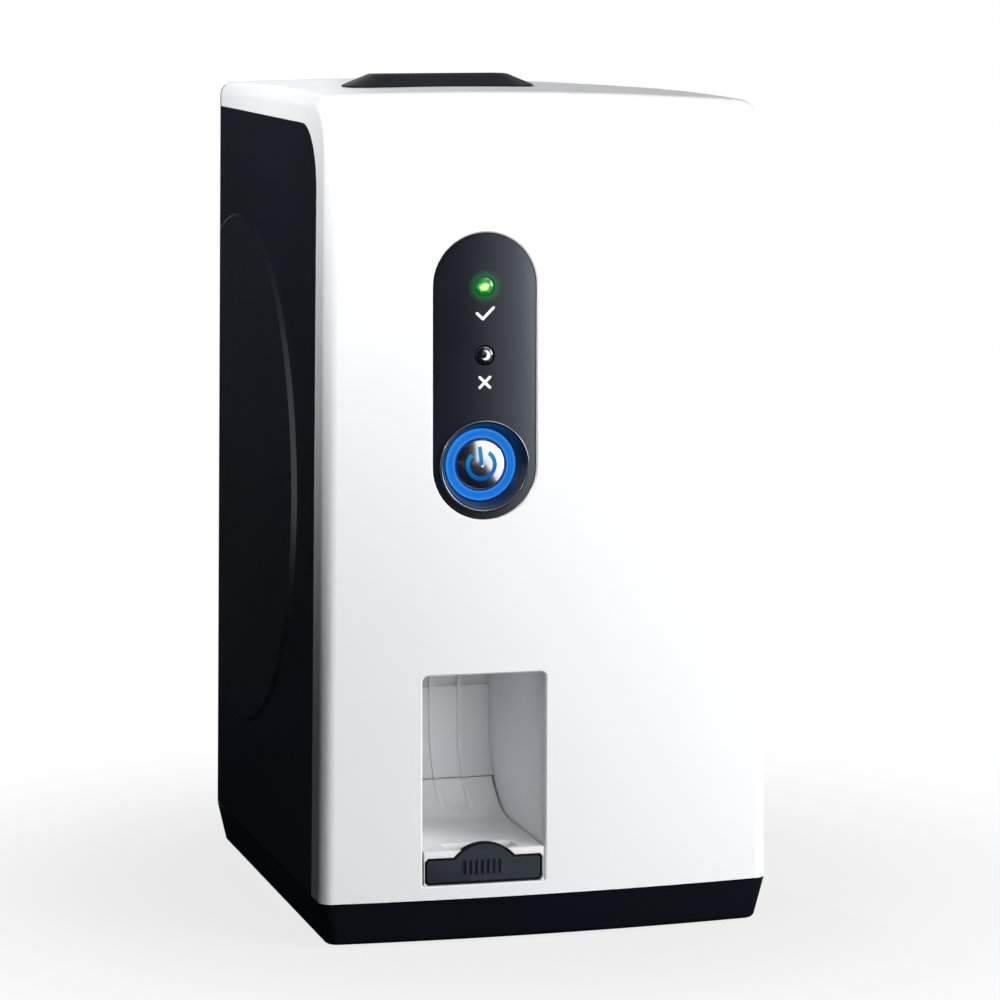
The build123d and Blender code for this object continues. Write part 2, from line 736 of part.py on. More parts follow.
# Lamp lenses: domed light pipes from the front board through the panel
lens_back = front_y + 12.2
lens_face_y = face_y + pill_recess
for lens_z, lens_name in ((ready_z, "ready_lens"), (error_z, "error_lens")):
    with BuildPart() as lens:
        with BuildSketch(front_plane(lens_back)):
            with Locations((path_x, lens_z)):
                Circle(lens_radius)
        extrude(amount=lens_back - lens_face_y)
        chamfer(lens.faces().sort_by(Axis.Y)[0].edges(), length=0.9)
        with BuildSketch(front_plane(lens_flange_y + 1)):
            with Locations((path_x, lens_z)):
                Circle(lens_flange_radius)
        extrude(amount=0.9)
    lens.part.label = lens_name
    export_step(lens.part, f"parts/{lens_name}.step")

# Button bezel: bright rim around the well
with BuildPart() as button_bezel:
    with BuildSketch(front_plane(bezel_seat_y)):
        with Locations((path_x, button_z)):
            Circle(bezel_radius)
            Circle(bezel_radius - bezel_width, mode=Mode.SUBTRACT)
    extrude(amount=bezel_seat_y - face_y)
    chamfer(button_bezel.faces().sort_by(Axis.Y)[0].edges(), length=0.3)
button_bezel.part.label = "button_bezel"
export_step(button_bezel.part, "parts/button_bezel.step")

# Button ring: blue light guide around the cap
ring_bore = 8.7
ring_front = face_y + ring_recess
ring_back = ring_front + 3.4
with BuildPart() as button_ring:
    with BuildSketch(front_plane(ring_back)):
        with Locations((path_x, button_z)):
            Circle(ring_radius)
            Circle(ring_bore, mode=Mode.SUBTRACT)
    extrude(amount=ring_back - ring_front)
button_ring.part.label = "button_ring"
export_step(button_ring.part, "parts/button_ring.step")

# Button cap: domed metal disc, held from behind by its flange, with the stem that works the switch
cap_edge_y = ring_front - 0.3
cap_flange_radius = 9.6
cap_flange_y = ring_back + 0.3
cap_flange_thickness = 1.0
stem_radius = 1.9
switch_height = 3.4
switch_front = board_front_y - switch_height
switch_bore_depth = 2.4
stem_tip_y = switch_front + 0.8
dome_radius = (cap_radius**2 + cap_dome**2) / (2 * cap_dome)
with BuildPart() as button_cap:
    with BuildSketch(Plane.YZ.offset(path_x)):
        with BuildLine():
            ThreePointArc(
                (cap_edge_y - cap_dome, button_z),
                (cap_edge_y - cap_dome + dome_radius - sqrt(dome_radius**2 - 4.5**2), button_z + 4.5),
                (cap_edge_y, button_z + cap_radius),
            )
            Polyline(
                (cap_edge_y, button_z + cap_radius),
                (cap_flange_y, button_z + cap_radius),
                (cap_flange_y, button_z + cap_flange_radius),
                (cap_flange_y + cap_flange_thickness, button_z + cap_flange_radius),
                (cap_flange_y + cap_flange_thickness, button_z + stem_radius),
                (stem_tip_y, button_z + stem_radius),
                (stem_tip_y, button_z),
                (cap_edge_y - cap_dome, button_z),
            )
        make_face()
    revolve(axis=Axis((path_x, 0, button_z), (0, 1, 0)))
button_cap.part.label = "button_cap"
export_step(button_cap.part, "parts/button_cap.step")

# Button switch: short-stroke switch on the front board
switch_size = 12.0
with BuildPart() as button_switch:
    with BuildSketch(front_plane(board_front_y)):
        with Locations((path_x, button_z)):
            Rectangle(switch_size, switch_size)
    extrude(amount=switch_height)
    with BuildSketch(front_plane(switch_front)):
        with Locations((path_x, button_z)):
            Circle(stem_radius + skin_gap)
    extrude(amount=-switch_bore_depth, mode=Mode.SUBTRACT)
button_switch.part.label = "button_switch"
export_step(button_switch.part, "parts/button_switch.step")

# Front board: carries the switch and the two lamps
lamp_size = 5.0
lamp_height = 1.8
with BuildPart() as front_board:
    with BuildSketch(front_plane(board_front_y)):
        with Locations((board_x, pill_z)):
            RectangleRounded(board_width, board_height, 2)
        with Locations(*front_boss_spots):
            Circle(board_screw_radius + 0.2, mode=Mode.SUBTRACT)
    extrude(amount=-board_thickness)
    with BuildSketch(front_plane(board_front_y)):
        with Locations((path_x, ready_z), (path_x, error_z)):
            Rectangle(lamp_size, lamp_size)
    extrude(amount=lamp_height)
    with BuildSketch(front_plane(board_front_y + board_thickness)):
        with Locations((board_x, pill_z)):
            Rectangle(16, 5)
    extrude(amount=-6)
front_board.part.label = "front_board"
export_step(front_board.part, "parts/front_board.step")

# Bin liner: grey pocket that the plates drop into, its back wall sweeps forwards to the tray
sweep_y = bin_back_y - bin_sweep_radius
sweep_z = bin_floor + bin_sweep_radius
liner_back = -14.7
liner_half = bin_width / 2 + liner_wall
liner_flange_half = liner_half + 4
liner_flange_back = front_y + 6.2
liner_flange_bottom = 20.0
liner_flange_top = bin_top + 6
ledge_width = 4.2
lower_back_y = -20.4
band_bottom = 79.0
band_height = 3.5
drop_slot_depth = 6.0


def sweep_point(radius, height):
    """A point of the sweep, at a radius from its centre and a height."""
    return (sweep_y + sqrt(radius**2 - (sweep_z - height) ** 2), height)


def sweep_arc(radius, upper, lower):
    """Arc of the sweep between two heights."""
    middle = (upper + lower) / 2
    return ThreePointArc(sweep_point(radius, upper), sweep_point(radius, middle), sweep_point(radius, lower))


with BuildPart() as liner_block:
    with BuildSketch(Plane.XY.offset(liner_bottom)):
        with Locations((path_x, liner_back)):
            Rectangle(2 * liner_half, cut_start + liner_back, align=(Align.CENTER, Align.MAX))
    extrude(amount=bin_top + liner_wall - liner_bottom)
    with BuildSketch(Plane.XY.offset(liner_flange_bottom)):
        with Locations((path_x, liner_flange_back)):
            Rectangle(2 * liner_flange_half, cut_start + liner_flange_back, align=(Align.CENTER, Align.MAX))
    extrude(amount=liner_flange_top - liner_flange_bottom)
    add(seated_form, mode=Mode.INTERSECT)

with BuildPart() as liner_ribs:
    with BuildSketch(Plane.YZ.offset(path_x)):
        with BuildLine():
            Line((bin_back_y - guide_rib_height, bin_top), (bin_back_y - guide_rib_height, sweep_z))
            sweep_arc(bin_sweep_radius - guide_rib_height, sweep_z, bin_seam_z)
            Line(
                sweep_point(bin_sweep_radius - guide_rib_height, bin_seam_z),
                sweep_point(bin_sweep_radius + 0.5, bin_seam_z),
            )
            sweep_arc(bin_sweep_radius + 0.5, sweep_z, bin_seam_z)
            Polyline(
                (bin_back_y + 0.5, sweep_z),
                (bin_back_y + 0.5, bin_top),
                (bin_back_y - guide_rib_height, bin_top),
            )
        make_face()
    extrude(amount=guide_rib_width / 2, both=True)

with BuildPart() as bin_liner:
    add(liner_block.part)
    with BuildSketch(Plane.YZ.offset(path_x)):
        with BuildLine():
            Polyline(
                (-cut_start, bin_bottom),
                (-cut_start, bin_top),
                (bin_back_y, bin_top),
                (bin_back_y, sweep_z),
            )
            sweep_arc(bin_sweep_radius, sweep_z, bin_seam_z)
            Polyline(
                sweep_point(bin_sweep_radius, bin_seam_z),
                (lower_back_y, bin_seam_z),
                (lower_back_y, bin_bottom),
                (-cut_start, bin_bottom),
            )
        make_face()
    extrude(amount=bin_width / 2, both=True, mode=Mode.SUBTRACT)
    with BuildSketch(Plane.XY.offset(liner_bottom - 1)):
        with Locations((path_x, lower_back_y)):
            Rectangle(bin_width - 2 * ledge_width, depth, align=(Align.CENTER, Align.MAX))
    extrude(amount=4, mode=Mode.SUBTRACT)
    with BuildSketch(front_plane(bin_back_y + 1)):
        with Locations((path_x, band_bottom + band_height / 2)):
            Rectangle(bin_width, band_height)
    extrude(amount=3, mode=Mode.SUBTRACT)
    for rib in (-1, 0, 1):
        with Locations((rib * guide_rib_pitch, 0, 0)):
            add(liner_ribs.part)
    with BuildSketch(Plane.XY.offset(bin_top - 1)):
        with Locations((path_x, path_y)):
            Rectangle(plate_slot_width + 2, drop_slot_depth)
    extrude(amount=2 * liner_wall + 1, mode=Mode.SUBTRACT)
bin_liner.part.label = "bin_liner"
export_step(bin_liner.part, "parts/bin_liner.step")

# Plate tray: slides out of the liner, with the scoop, a finger pocket and a recess for its handle
tray_half = bin_width / 2 - 2 * tray_clearance
tray_bottom = bin_bottom + tray_clearance
tray_front_wall = 4.0
tray_scoop_top = bin_seam_z - tray_clearance
tray_front_back = face_y + tray_front_wall + 0.3
runner_width = 1.8
runner_back = -26.0
pocket_wall = 1.6
pocket_bottom = 27.0
tab_half = 21.3
tab_top = tray_bottom + tab_height
hump_z = tab_hump_top - tab_hump_radius
tab_seat = tab_thickness + 0.1
tab_form = housing_form(tab_thickness)
tab_seat_form = housing_form(tab_seat)
pocket_front_y = face_y + tab_thickness
tab_reach = cut_start - half_depth + 8.2


def tab_outline(grow):
    """Front view of the handle: a bar with a round hump, grown by a margin."""
    with BuildSketch(front_plane(-cut_start)) as outline:
        with Locations((path_x, tray_bottom + tab_height / 2)):
            Rectangle(2 * tab_half + 2 * grow, tab_height + 2 * grow)
        chamfer(outline.vertices(), length=1.2)
        with Locations((path_x, hump_z)):
            Circle(tab_hump_radius + grow)
        with Locations((path_x, tray_bottom - grow)):
            Rectangle(4 * tab_half, 40, align=(Align.CENTER, Align.MAX), mode=Mode.SUBTRACT)
    return outline.sketch


with BuildPart() as tray_ribs:
    with BuildSketch(Plane.YZ.offset(path_x)):
        with BuildLine():
            sweep_arc(bin_sweep_radius - guide_rib_height, tray_scoop_top, bin_floor + 7)
            Line(
                sweep_point(bin_sweep_radius - guide_rib_height, bin_floor + 7),
                sweep_point(bin_sweep_radius + 0.5, bin_floor + 1.5),
            )
            sweep_arc(bin_sweep_radius + 0.5, tray_scoop_top, bin_floor + 1.5)
            Line(
                sweep_point(bin_sweep_radius + 0.5, tray_scoop_top),
                sweep_point(bin_sweep_radius - guide_rib_height, tray_scoop_top),
            )
        make_face()
    extrude(amount=guide_rib_width / 2, both=True)

with BuildPart() as tray_body:
    with BuildSketch(Plane.YZ.offset(path_x)):
        with BuildLine():
            Line((-cut_start, bin_floor), (sweep_y, bin_floor))
            sweep_arc(bin_sweep_radius, bin_floor, tray_scoop_top)
            Line(
                sweep_point(bin_sweep_radius, tray_scoop_top),
                sweep_point(bin_sweep_radius + tray_floor, tray_scoop_top),
            )
            sweep_arc(bin_sweep_radius + tray_floor, bin_floor - tray_floor, tray_scoop_top)
            Polyline(
                (sweep_y, bin_floor - tray_floor),
                (-cut_start, bin_floor - tray_floor),
                (-cut_start, bin_floor),
            )
        make_face()
    extrude(amount=tray_half, both=True)
    with BuildSketch(Plane.XY.offset(tray_bottom)):
        for side in (-1, 1):
            with Locations((path_x + side * (tray_half - runner_width / 2), runner_back)):
                Rectangle(runner_width, cut_start + runner_back, align=(Align.CENTER, Align.MAX))
    extrude(amount=bin_floor - tray_bottom - 0.5)
    with BuildSketch(Plane.XY.offset(tray_bottom)):
        with Locations((path_x, tray_front_back)):
            Rectangle(2 * tray_half, 10, align=(Align.CENTER, Align.MAX))
    extrude(amount=bin_floor - tray_bottom)
    with BuildSketch(Plane.XY.offset(pocket_bottom - pocket_wall)):
        with Locations((path_x, pocket_front_y + finger_pocket_depth + pocket_wall)):
            Rectangle(
                finger_pocket_width + 2 * pocket_wall,
                finger_pocket_depth + pocket_wall,
                align=(Align.CENTER, Align.MAX),
            )
    extrude(amount=bin_floor - tray_floor - pocket_bottom + pocket_wall + 0.5)
    for rib in (-1, 0, 1):
        with Locations((rib * guide_rib_pitch, 0, 0)):
            add(tray_ribs.part)
    add(outer_form, mode=Mode.INTERSECT)
    with BuildSketch(Plane.XY.offset(pocket_bottom)):
        with Locations((path_x, pocket_front_y + finger_pocket_depth)):
            Rectangle(finger_pocket_width, finger_pocket_depth, align=(Align.CENTER, Align.MAX))
    extrude(amount=20, mode=Mode.SUBTRACT)

with BuildPart() as tab_recess:
    extrude(tab_outline(0.15), amount=-tab_reach)
    add(tab_seat_form, mode=Mode.SUBTRACT)

with BuildPart() as plate_tray:
    add(tray_body.part)
    add(tab_recess.part, mode=Mode.SUBTRACT)
plate_tray.part.label = "plate_tray"
export_step(plate_tray.part, "parts/plate_tray.step")

# Tray handle: dark bar with a round hump, let into the front of the tray
with BuildPart() as tray_handle:
    extrude(tab_outline(0), amount=-tab_reach)
    add(outer_form, mode=Mode.INTERSECT)
    add(tab_form, mode=Mode.SUBTRACT)
tray_handle.part.label = "tray_handle"
export_step(tray_handle.part, "parts/tray_handle.step")

# Positions of the transport: rollers, gears between them and the motor
drive_y = path_y + nip_gap / 2 + roller_radius
idler_y = path_y - nip_gap / 2 - roller_radius
roller_heights = [first_roller_z - i * roller_pitch for i in range(roller_count)]
gear_pitch_radius = gear_module * gear_teeth / 2
pinion_pitch_radius = gear_module * pinion_teeth / 2
transfer_y = drive_y + sqrt((2 * gear_pitch_radius) ** 2 - (roller_pitch / 2) ** 2)
transfer_heights = [z - roller_pitch / 2 for z in roller_heights[:-1]]
pinion_reach = gear_pitch_radius + pinion_pitch_radius
pinion_y = transfer_y + pinion_reach * cos(radians(pinion_direction))
pinion_z = transfer_heights[-1] + pinion_reach * sin(radians(pinion_direction))
plate_left_x = frame_left_x - frame_plate_thickness
plate_right_x = frame_right_x + frame_plate_thickness
gear_x = plate_left_x - 1.3
bush_radius = 4.0
bush_flange_radius = 5.0
bush_flange = 1.0
arm_front_z = 100.0
arm_rear_z = 128.0
arm_end_z = 156.0
arm_rear_y = 40.0
arm_top_z = bench_top_z - bench_thickness
motor_shaft_radius = 2.0
motor_hole_radius = 5.0
post_radius_gear = 2.5
foot_thickness = 2.0

# Frame plates: two folded steel cheeks that carry rollers, guides, motor and optics
for side, cheek_x, plate_name in ((-1, frame_left_x, "frame_plate_left"), (1, frame_right_x, "frame_plate_right")):
    with BuildPart() as frame_plate:
        with BuildSketch(Plane.YZ.offset(cheek_x)):
            with BuildLine():
                Polyline(
                    (frame_front_y, frame_foot_z),
                    (frame_rear_y, frame_foot_z),
                    (frame_rear_y, arm_front_z),
                    (arm_rear_y, arm_rear_z),
                    (bench_rear_y, arm_end_z),
                    (bench_rear_y, arm_top_z),
                    (frame_rear_y, arm_top_z),
                    (frame_rear_y, frame_top_z),
                    (frame_front_y, frame_top_z),
                    close=True,
                )
            make_face()
            with Locations(*[(drive_y, z) for z in roller_heights]):
                Circle(bush_radius + 0.02, mode=Mode.SUBTRACT)
            with Locations(*[(idler_y, z) for z in roller_heights]):
                Circle(idler_shaft_radius + running_clearance, mode=Mode.SUBTRACT)
            with Locations((light_guide_y, light_guide_z)):
                Circle(light_guide_radius + 0.05, mode=Mode.SUBTRACT)
            if side < 0:
                with Locations((pinion_y, pinion_z)):
                    Circle(motor_hole_radius, mode=Mode.SUBTRACT)
        extrude(amount=side * frame_plate_thickness)
        with BuildSketch(Plane.XY.offset(frame_foot_z)):
            with Locations((cheek_x, (frame_front_y + frame_rear_y) / 2)):
                Rectangle(
                    frame_plate_thickness + frame_foot_width,
                    frame_rear_y - frame_front_y,
                    align=(Align.MIN if side > 0 else Align.MAX, Align.CENTER),
                )
            with Locations(*frame_foot_spots):
                Circle(post_hole_radius, mode=Mode.SUBTRACT)
        extrude(amount=foot_thickness)
    frame_plate.part.label = plate_name
    export_step(frame_plate.part, f"parts/{plate_name}.step")

# Cross bars: four steel rods that hold the cheeks apart
bar_radius = 3.0
bar_spots = ((frame_front_y + 4, 205.0), (frame_rear_y - 4, 205.0), (frame_front_y + 4, 112.0), (frame_rear_y - 4, 112.0))
with BuildPart() as cross_bars:
    with BuildSketch(Plane.YZ.offset(frame_left_x)):
        with Locations(*bar_spots):
            Circle(bar_radius)
    extrude(amount=frame_span)
cross_bars.part.label = "cross_bars"
export_step(cross_bars.part, "parts/cross_bars.step")

# Roller bushes: flanged plain bearings of the driven shafts
with BuildPart() as roller_bushes:
    for bush_plane, outward in ((Plane.YZ.offset(frame_left_x), -1), (Plane.YZ.offset(frame_right_x), 1)):
        with BuildSketch(bush_plane):
            with Locations(*[(drive_y, z) for z in roller_heights]):
                Circle(bush_radius)
        extrude(amount=outward * frame_plate_thickness)
    for bush_plane, outward in ((Plane.YZ.offset(plate_left_x), -1), (Plane.YZ.offset(plate_right_x), 1)):
        with BuildSketch(bush_plane):
            with Locations(*[(drive_y, z) for z in roller_heights]):
                Circle(bush_flange_radius)
        extrude(amount=outward * bush_flange)
    with BuildSketch(Plane.YZ.offset(plate_left_x - 5)):
        with Locations(*[(drive_y, z) for z in roller_heights]):
            Circle(drive_shaft_radius + running_clearance)
    extrude(amount=frame_span + 20, mode=Mode.SUBTRACT)
roller_bushes.part.label = "roller_bushes"
export_step(roller_bushes.part, "parts/roller_bushes.step")

# Rollers: rubber-covered driven rollers and the idlers that press the plate on them
gear_end_x = gear_x - gear_face
shaft_left_x = gear_end_x - 1.5
shaft_right_x = plate_right_x + 0.8
for number, roller_z in enumerate(roller_heights, start=1):
    with BuildPart() as drive_roller:
        with BuildSketch(Plane.YZ.offset(path_x - roller_length / 2)):
            with Locations((drive_y, roller_z)):
                Circle(roller_radius)
        extrude(amount=roller_length)
        with BuildSketch(Plane.YZ.offset(shaft_left_x)):
            with Locations((drive_y, roller_z)):
                Circle(drive_shaft_radius)
        extrude(amount=shaft_right_x - shaft_left_x)
    drive_roller.part.label = f"drive_roller_{number}"
    export_step(drive_roller.part, f"parts/drive_roller_{number}.step")
    with BuildPart() as idler_roller:
        with BuildSketch(Plane.YZ.offset(path_x - roller_length / 2)):
            with Locations((idler_y, roller_z)):
                Circle(roller_radius)
        extrude(amount=roller_length)
        with BuildSketch(Plane.YZ.offset(plate_left_x - 0.8)):
            with Locations((idler_y, roller_z)):
                Circle(idler_shaft_radius)
        extrude(amount=plate_right_x - plate_left_x + 1.6)
    idler_roller.part.label = f"idler_roller_{number}"
    export_step(idler_roller.part, f"parts/idler_roller_{number}.step")


# Roller springs: bent leaves beside the rollers that press the idlers towards the drive
leaf_width = 5.0
leaf_half = 10.0
leaf_thickness = 0.5
leaf_bend = 1.6
leaf_y = idler_y - idler_shaft_radius - skin_gap
with BuildPart() as roller_springs:
    for leaf_z in roller_heights:
        for leaf_plane, inward in ((Plane.YZ.offset(frame_left_x), 1), (Plane.YZ.offset(frame_right_x), -1)):
            with BuildSketch(leaf_plane):
                Polygon(
                    (leaf_y, leaf_z),
                    (leaf_y - leaf_bend, leaf_z + leaf_half),
                    (leaf_y - leaf_bend - leaf_thickness, leaf_z + leaf_half),
                    (leaf_y - leaf_thickness, leaf_z),
                    (leaf_y - leaf_bend - leaf_thickness, leaf_z - leaf_half),
                    (leaf_y - leaf_bend, leaf_z - leaf_half),
                    align=None,
                )
            extrude(amount=inward * leaf_width)
roller_springs.part.label = "roller_springs"
export_step(roller_springs.part, "parts/roller_springs.step")


def gear_points(teeth, phase):
    """Corners of a spur gear with straight-sided copies of involute flanks."""
    pitch_radius = gear_module * teeth / 2
    base_radius = pitch_radius * cos(radians(20))
    involute_at_pitch = tan(radians(20)) - radians(20)
    half_tooth = (pi * gear_module - gear_backlash) / (4 * pitch_radius)
    flank = []
    for radius in (pitch_radius - 1.25 * gear_module, base_radius, pitch_radius, pitch_radius + gear_tip):
        pressure = acos(min(1.0, base_radius / radius))
        flank.append((radius, half_tooth + involute_at_pitch - tan(pressure) + pressure))
    points = []
    for tooth in range(teeth):
        middle = radians(phase) + 2 * pi * tooth / teeth
        for radius, angle in flank:
            points.append((radius * cos(middle - angle), radius * sin(middle - angle)))
        for radius, angle in reversed(flank):
            points.append((radius * cos(middle + angle), radius * sin(middle + angle)))
    return points


def meshing_phase(spot, teeth, phase, next_spot, next_teeth):
    """Phase of the next gear, so that its gap faces a tooth of the gear before it."""
    direction = degrees(atan2(next_spot[1] - spot[1], next_spot[0] - spot[0]))
    turn = (phase - direction) / (360 / teeth)
    return direction + 180 + (360 / next_teeth) * (0.5 - turn)


# Gears: three on the driven shafts, two between them and the motor pinion
gear_tip = 1.0 * gear_module
gear_spots = [(drive_y, roller_heights[0]), (transfer_y, transfer_heights[0])]
gear_spots += [(drive_y, roller_heights[1]), (transfer_y, transfer_heights[1])]
gear_spots += [(drive_y, roller_heights[2])]
gear_names = ["roller_gear_1", "transfer_gear_1", "roller_gear_2", "transfer_gear_2", "roller_gear_3"]
gear_phases = [0.0]
for number in range(1, len(gear_spots)):
    gear_phases.append(
        meshing_phase(gear_spots[number - 1], gear_teeth, gear_phases[-1], gear_spots[number], gear_teeth)
    )
for spot, phase, gear_name in zip(gear_spots, gear_phases, gear_names):
    on_roller = gear_name.startswith("roller")
    with BuildPart() as gear:
        with BuildSketch(Plane.YZ.offset(gear_x)):
            with Locations(spot):
                Polygon(*gear_points(gear_teeth, phase), align=None)
                Circle(drive_shaft_radius + (0 if on_roller else running_clearance), mode=Mode.SUBTRACT)
        extrude(amount=-gear_face)
    gear.part.label = gear_name
    export_step(gear.part, f"parts/{gear_name}.step")

# Gear posts: two studs on the left cheek with a head that keeps the gear on
with BuildPart() as gear_posts:
    with BuildSketch(Plane.YZ.offset(plate_left_x)):
        with Locations(*[(transfer_y, z) for z in transfer_heights]):
            Circle(post_radius_gear)
    extrude(amount=shaft_left_x - plate_left_x)
    with BuildSketch(Plane.YZ.offset(plate_left_x)):
        with Locations(*[(transfer_y, z) for z in transfer_heights]):
            Circle(post_radius_gear + 1.5)
    extrude(amount=gear_x + 0.3 - plate_left_x)
    with BuildSketch(Plane.YZ.offset(gear_end_x - 0.4)):
        with Locations(*[(transfer_y, z) for z in transfer_heights]):
            Circle(post_radius_gear + 1)
    extrude(amount=shaft_left_x - gear_end_x + 0.4)
gear_posts.part.label = "gear_posts"
export_step(gear_posts.part, "parts/gear_posts.step")

# Motor pinion with the motor shaft
motor_front_x = frame_left_x
motor_bore_depth = 6.0
pinion_phase = meshing_phase(gear_spots[3], gear_teeth, gear_phases[3], (pinion_y, pinion_z), pinion_teeth)
with BuildPart() as motor_pinion:
    with BuildSketch(Plane.YZ.offset(gear_x)):
        with Locations((pinion_y, pinion_z)):
            Polygon(*gear_points(pinion_teeth, pinion_phase), align=None)
    extrude(amount=-gear_face)
    with BuildSketch(Plane.YZ.offset(gear_end_x)):
        with Locations((pinion_y, pinion_z)):
            Circle(motor_shaft_radius)
    extrude(amount=motor_front_x + motor_bore_depth - 0.5 - gear_end_x)
motor_pinion.part.label = "motor_pinion"
export_step(motor_pinion.part, "parts/motor_pinion.step")

# Stepper motor on the inner side of the left cheek
motor_edge = 3.0
motor_cap = 6.0
with BuildPart() as stepper_motor:
    with BuildSketch(Plane.YZ.offset(motor_front_x)) as motor_outline:
        with Locations((pinion_y, pinion_z)):
            Rectangle(motor_size, motor_size)
        chamfer(motor_outline.vertices(), length=motor_edge)
    extrude(amount=motor_length)
    with BuildSketch(Plane.YZ.offset(motor_front_x)):
        with Locations((pinion_y, pinion_z)):
            Circle(motor_shaft_radius + running_clearance)
    extrude(amount=motor_bore_depth, mode=Mode.SUBTRACT)
    with BuildSketch(Plane.YZ.offset(motor_front_x + motor_cap)) as motor_waist:
        with Locations((pinion_y, pinion_z)):
            Rectangle(motor_size + 2, motor_size + 2)
            Rectangle(motor_size - 1.6, motor_size - 1.6, mode=Mode.SUBTRACT)
    extrude(amount=motor_length - 2 * motor_cap, mode=Mode.SUBTRACT)
stepper_motor.part.label = "stepper_motor"
export_step(stepper_motor.part, "parts/stepper_motor.step")

# Path guides: two folded sheets that lead the plate past rollers, scanning line and eraser
sheet_thickness = 1.0
sheet_gap = 3.2
sheet_bottom = 101.0
sheet_top = 208.0
window_width = roller_length + 2
roller_window = 11.0
scan_window = (174.5, 187.5)
erase_window = (143.0, 157.0)
for side, sheet_name in ((-1, "path_guide_front"), (1, "path_guide_rear")):
    with BuildPart() as path_guide:
        with BuildSketch(front_plane(path_y + side * sheet_gap / 2)):
            with Locations((path_x, sheet_bottom)):
                Rectangle(frame_span, sheet_top - sheet_bottom, align=(Align.CENTER, Align.MIN))
            with Locations(*[(path_x, z) for z in roller_heights]):
                Rectangle(window_width, roller_window, mode=Mode.SUBTRACT)
            if side > 0:
                for low, high in (scan_window, erase_window):
                    with Locations((path_x, low)):
                        Rectangle(
                            window_width,
                            high - low,
                            align=(Align.CENTER, Align.MIN),
                            mode=Mode.SUBTRACT,
                        )
        extrude(amount=-side * sheet_thickness)
    path_guide.part.label = sheet_name
    export_step(path_guide.part, f"parts/{sheet_name}.step")

# Optics bench: plate on the arms of the frame
bench_front_y = 6.0
bench_overhang = 2.0
with BuildPart() as optics_bench:
    with BuildSketch(Plane.XY.offset(arm_top_z)):
        with Locations((path_x, bench_front_y)):
            Rectangle(
                frame_span + 2 * frame_plate_thickness + 2 * bench_overhang,
                bench_rear_y - bench_front_y,
                align=(Align.CENTER, Align.MIN),
            )
        with Locations((path_x, bench_front_y + 10)):
            Rectangle(30, 8, mode=Mode.SUBTRACT)
    extrude(amount=bench_thickness)
optics_bench.part.label = "optics_bench"
export_step(optics_bench.part, "parts/optics_bench.step")

# Laser module and its holder
laser_left_x = -51.0
laser_length = 14.0
holder_left_x = -48.0
holder_length = 10.0
with BuildPart() as laser_module:
    with BuildSketch(Plane.YZ.offset(laser_left_x)):
        with Locations((beam_y, scan_z)):
            Circle(laser_radius)
    extrude(amount=laser_length)
    with BuildSketch(Plane.YZ.offset(laser_left_x + laser_length)):
        with Locations((beam_y, scan_z)):
            Circle(2)
    extrude(amount=-1.5, mode=Mode.SUBTRACT)
laser_module.part.label = "laser_module"
export_step(laser_module.part, "parts/laser_module.step")

with BuildPart() as laser_holder:
    with BuildSketch(Plane.YZ.offset(holder_left_x)):
        with Locations((beam_y, bench_top_z)):
            Rectangle(2 * laser_radius + 4, scan_z + laser_radius + 2 - bench_top_z, align=(Align.CENTER, Align.MIN))
        with Locations((beam_y, scan_z)):
            Circle(laser_radius, mode=Mode.SUBTRACT)
    extrude(amount=holder_length)
laser_holder.part.label = "laser_holder"
export_step(laser_holder.part, "parts/laser_holder.step")

# Polygon motor: board, stator and fixed spindle
mirror_x = path_x + 8.5
mirror_y = beam_y + 8.5
motor_board_size = 34.0
stator_radius = 11.0
stator_height = 3.0
spindle_radius = 1.5
rotor_radius = 11.5
rotor_bottom = bench_top_z + board_thickness + stator_height + 0.4
mirror_bottom = scan_z - mirror_thickness / 2
with BuildPart() as polygon_motor:
    with BuildSketch(Plane.XY.offset(bench_top_z)):
        with Locations((mirror_x, mirror_y)):
            Rectangle(motor_board_size, motor_board_size)
    extrude(amount=board_thickness)
    with BuildSketch(Plane.XY.offset(bench_top_z + board_thickness)):
        with Locations((mirror_x, mirror_y)):
            Circle(stator_radius)
    extrude(amount=stator_height)
    with BuildSketch(Plane.XY.offset(bench_top_z + board_thickness)):
        with Locations((mirror_x, mirror_y)):
            Circle(spindle_radius)
    extrude(amount=scan_z + mirror_thickness / 2 + 1.5 - bench_top_z - board_thickness)
polygon_motor.part.label = "polygon_motor"
export_step(polygon_motor.part, "parts/polygon_motor.step")

# Polygon mirror: six polished facets on the rotor cup
with BuildPart() as polygon_mirror:
    with BuildSketch(Plane.XY.offset(mirror_bottom)):
        with Locations((mirror_x, mirror_y)):
            RegularPolygon(mirror_apothem, mirror_sides, major_radius=False)
    extrude(amount=mirror_thickness)
    with BuildSketch(Plane.XY.offset(rotor_bottom)):
        with Locations((mirror_x, mirror_y)):
            Circle(rotor_radius)
    extrude(amount=mirror_bottom - rotor_bottom)
    with BuildSketch(Plane.XY.offset(rotor_bottom)):
        with Locations((mirror_x, mirror_y)):
            Circle(spindle_radius + running_clearance)
    extrude(amount=mirror_thickness + 5, mode=Mode.SUBTRACT)
polygon_mirror.part.label = "polygon_mirror"
export_step(polygon_mirror.part, "parts/polygon_mirror.step")

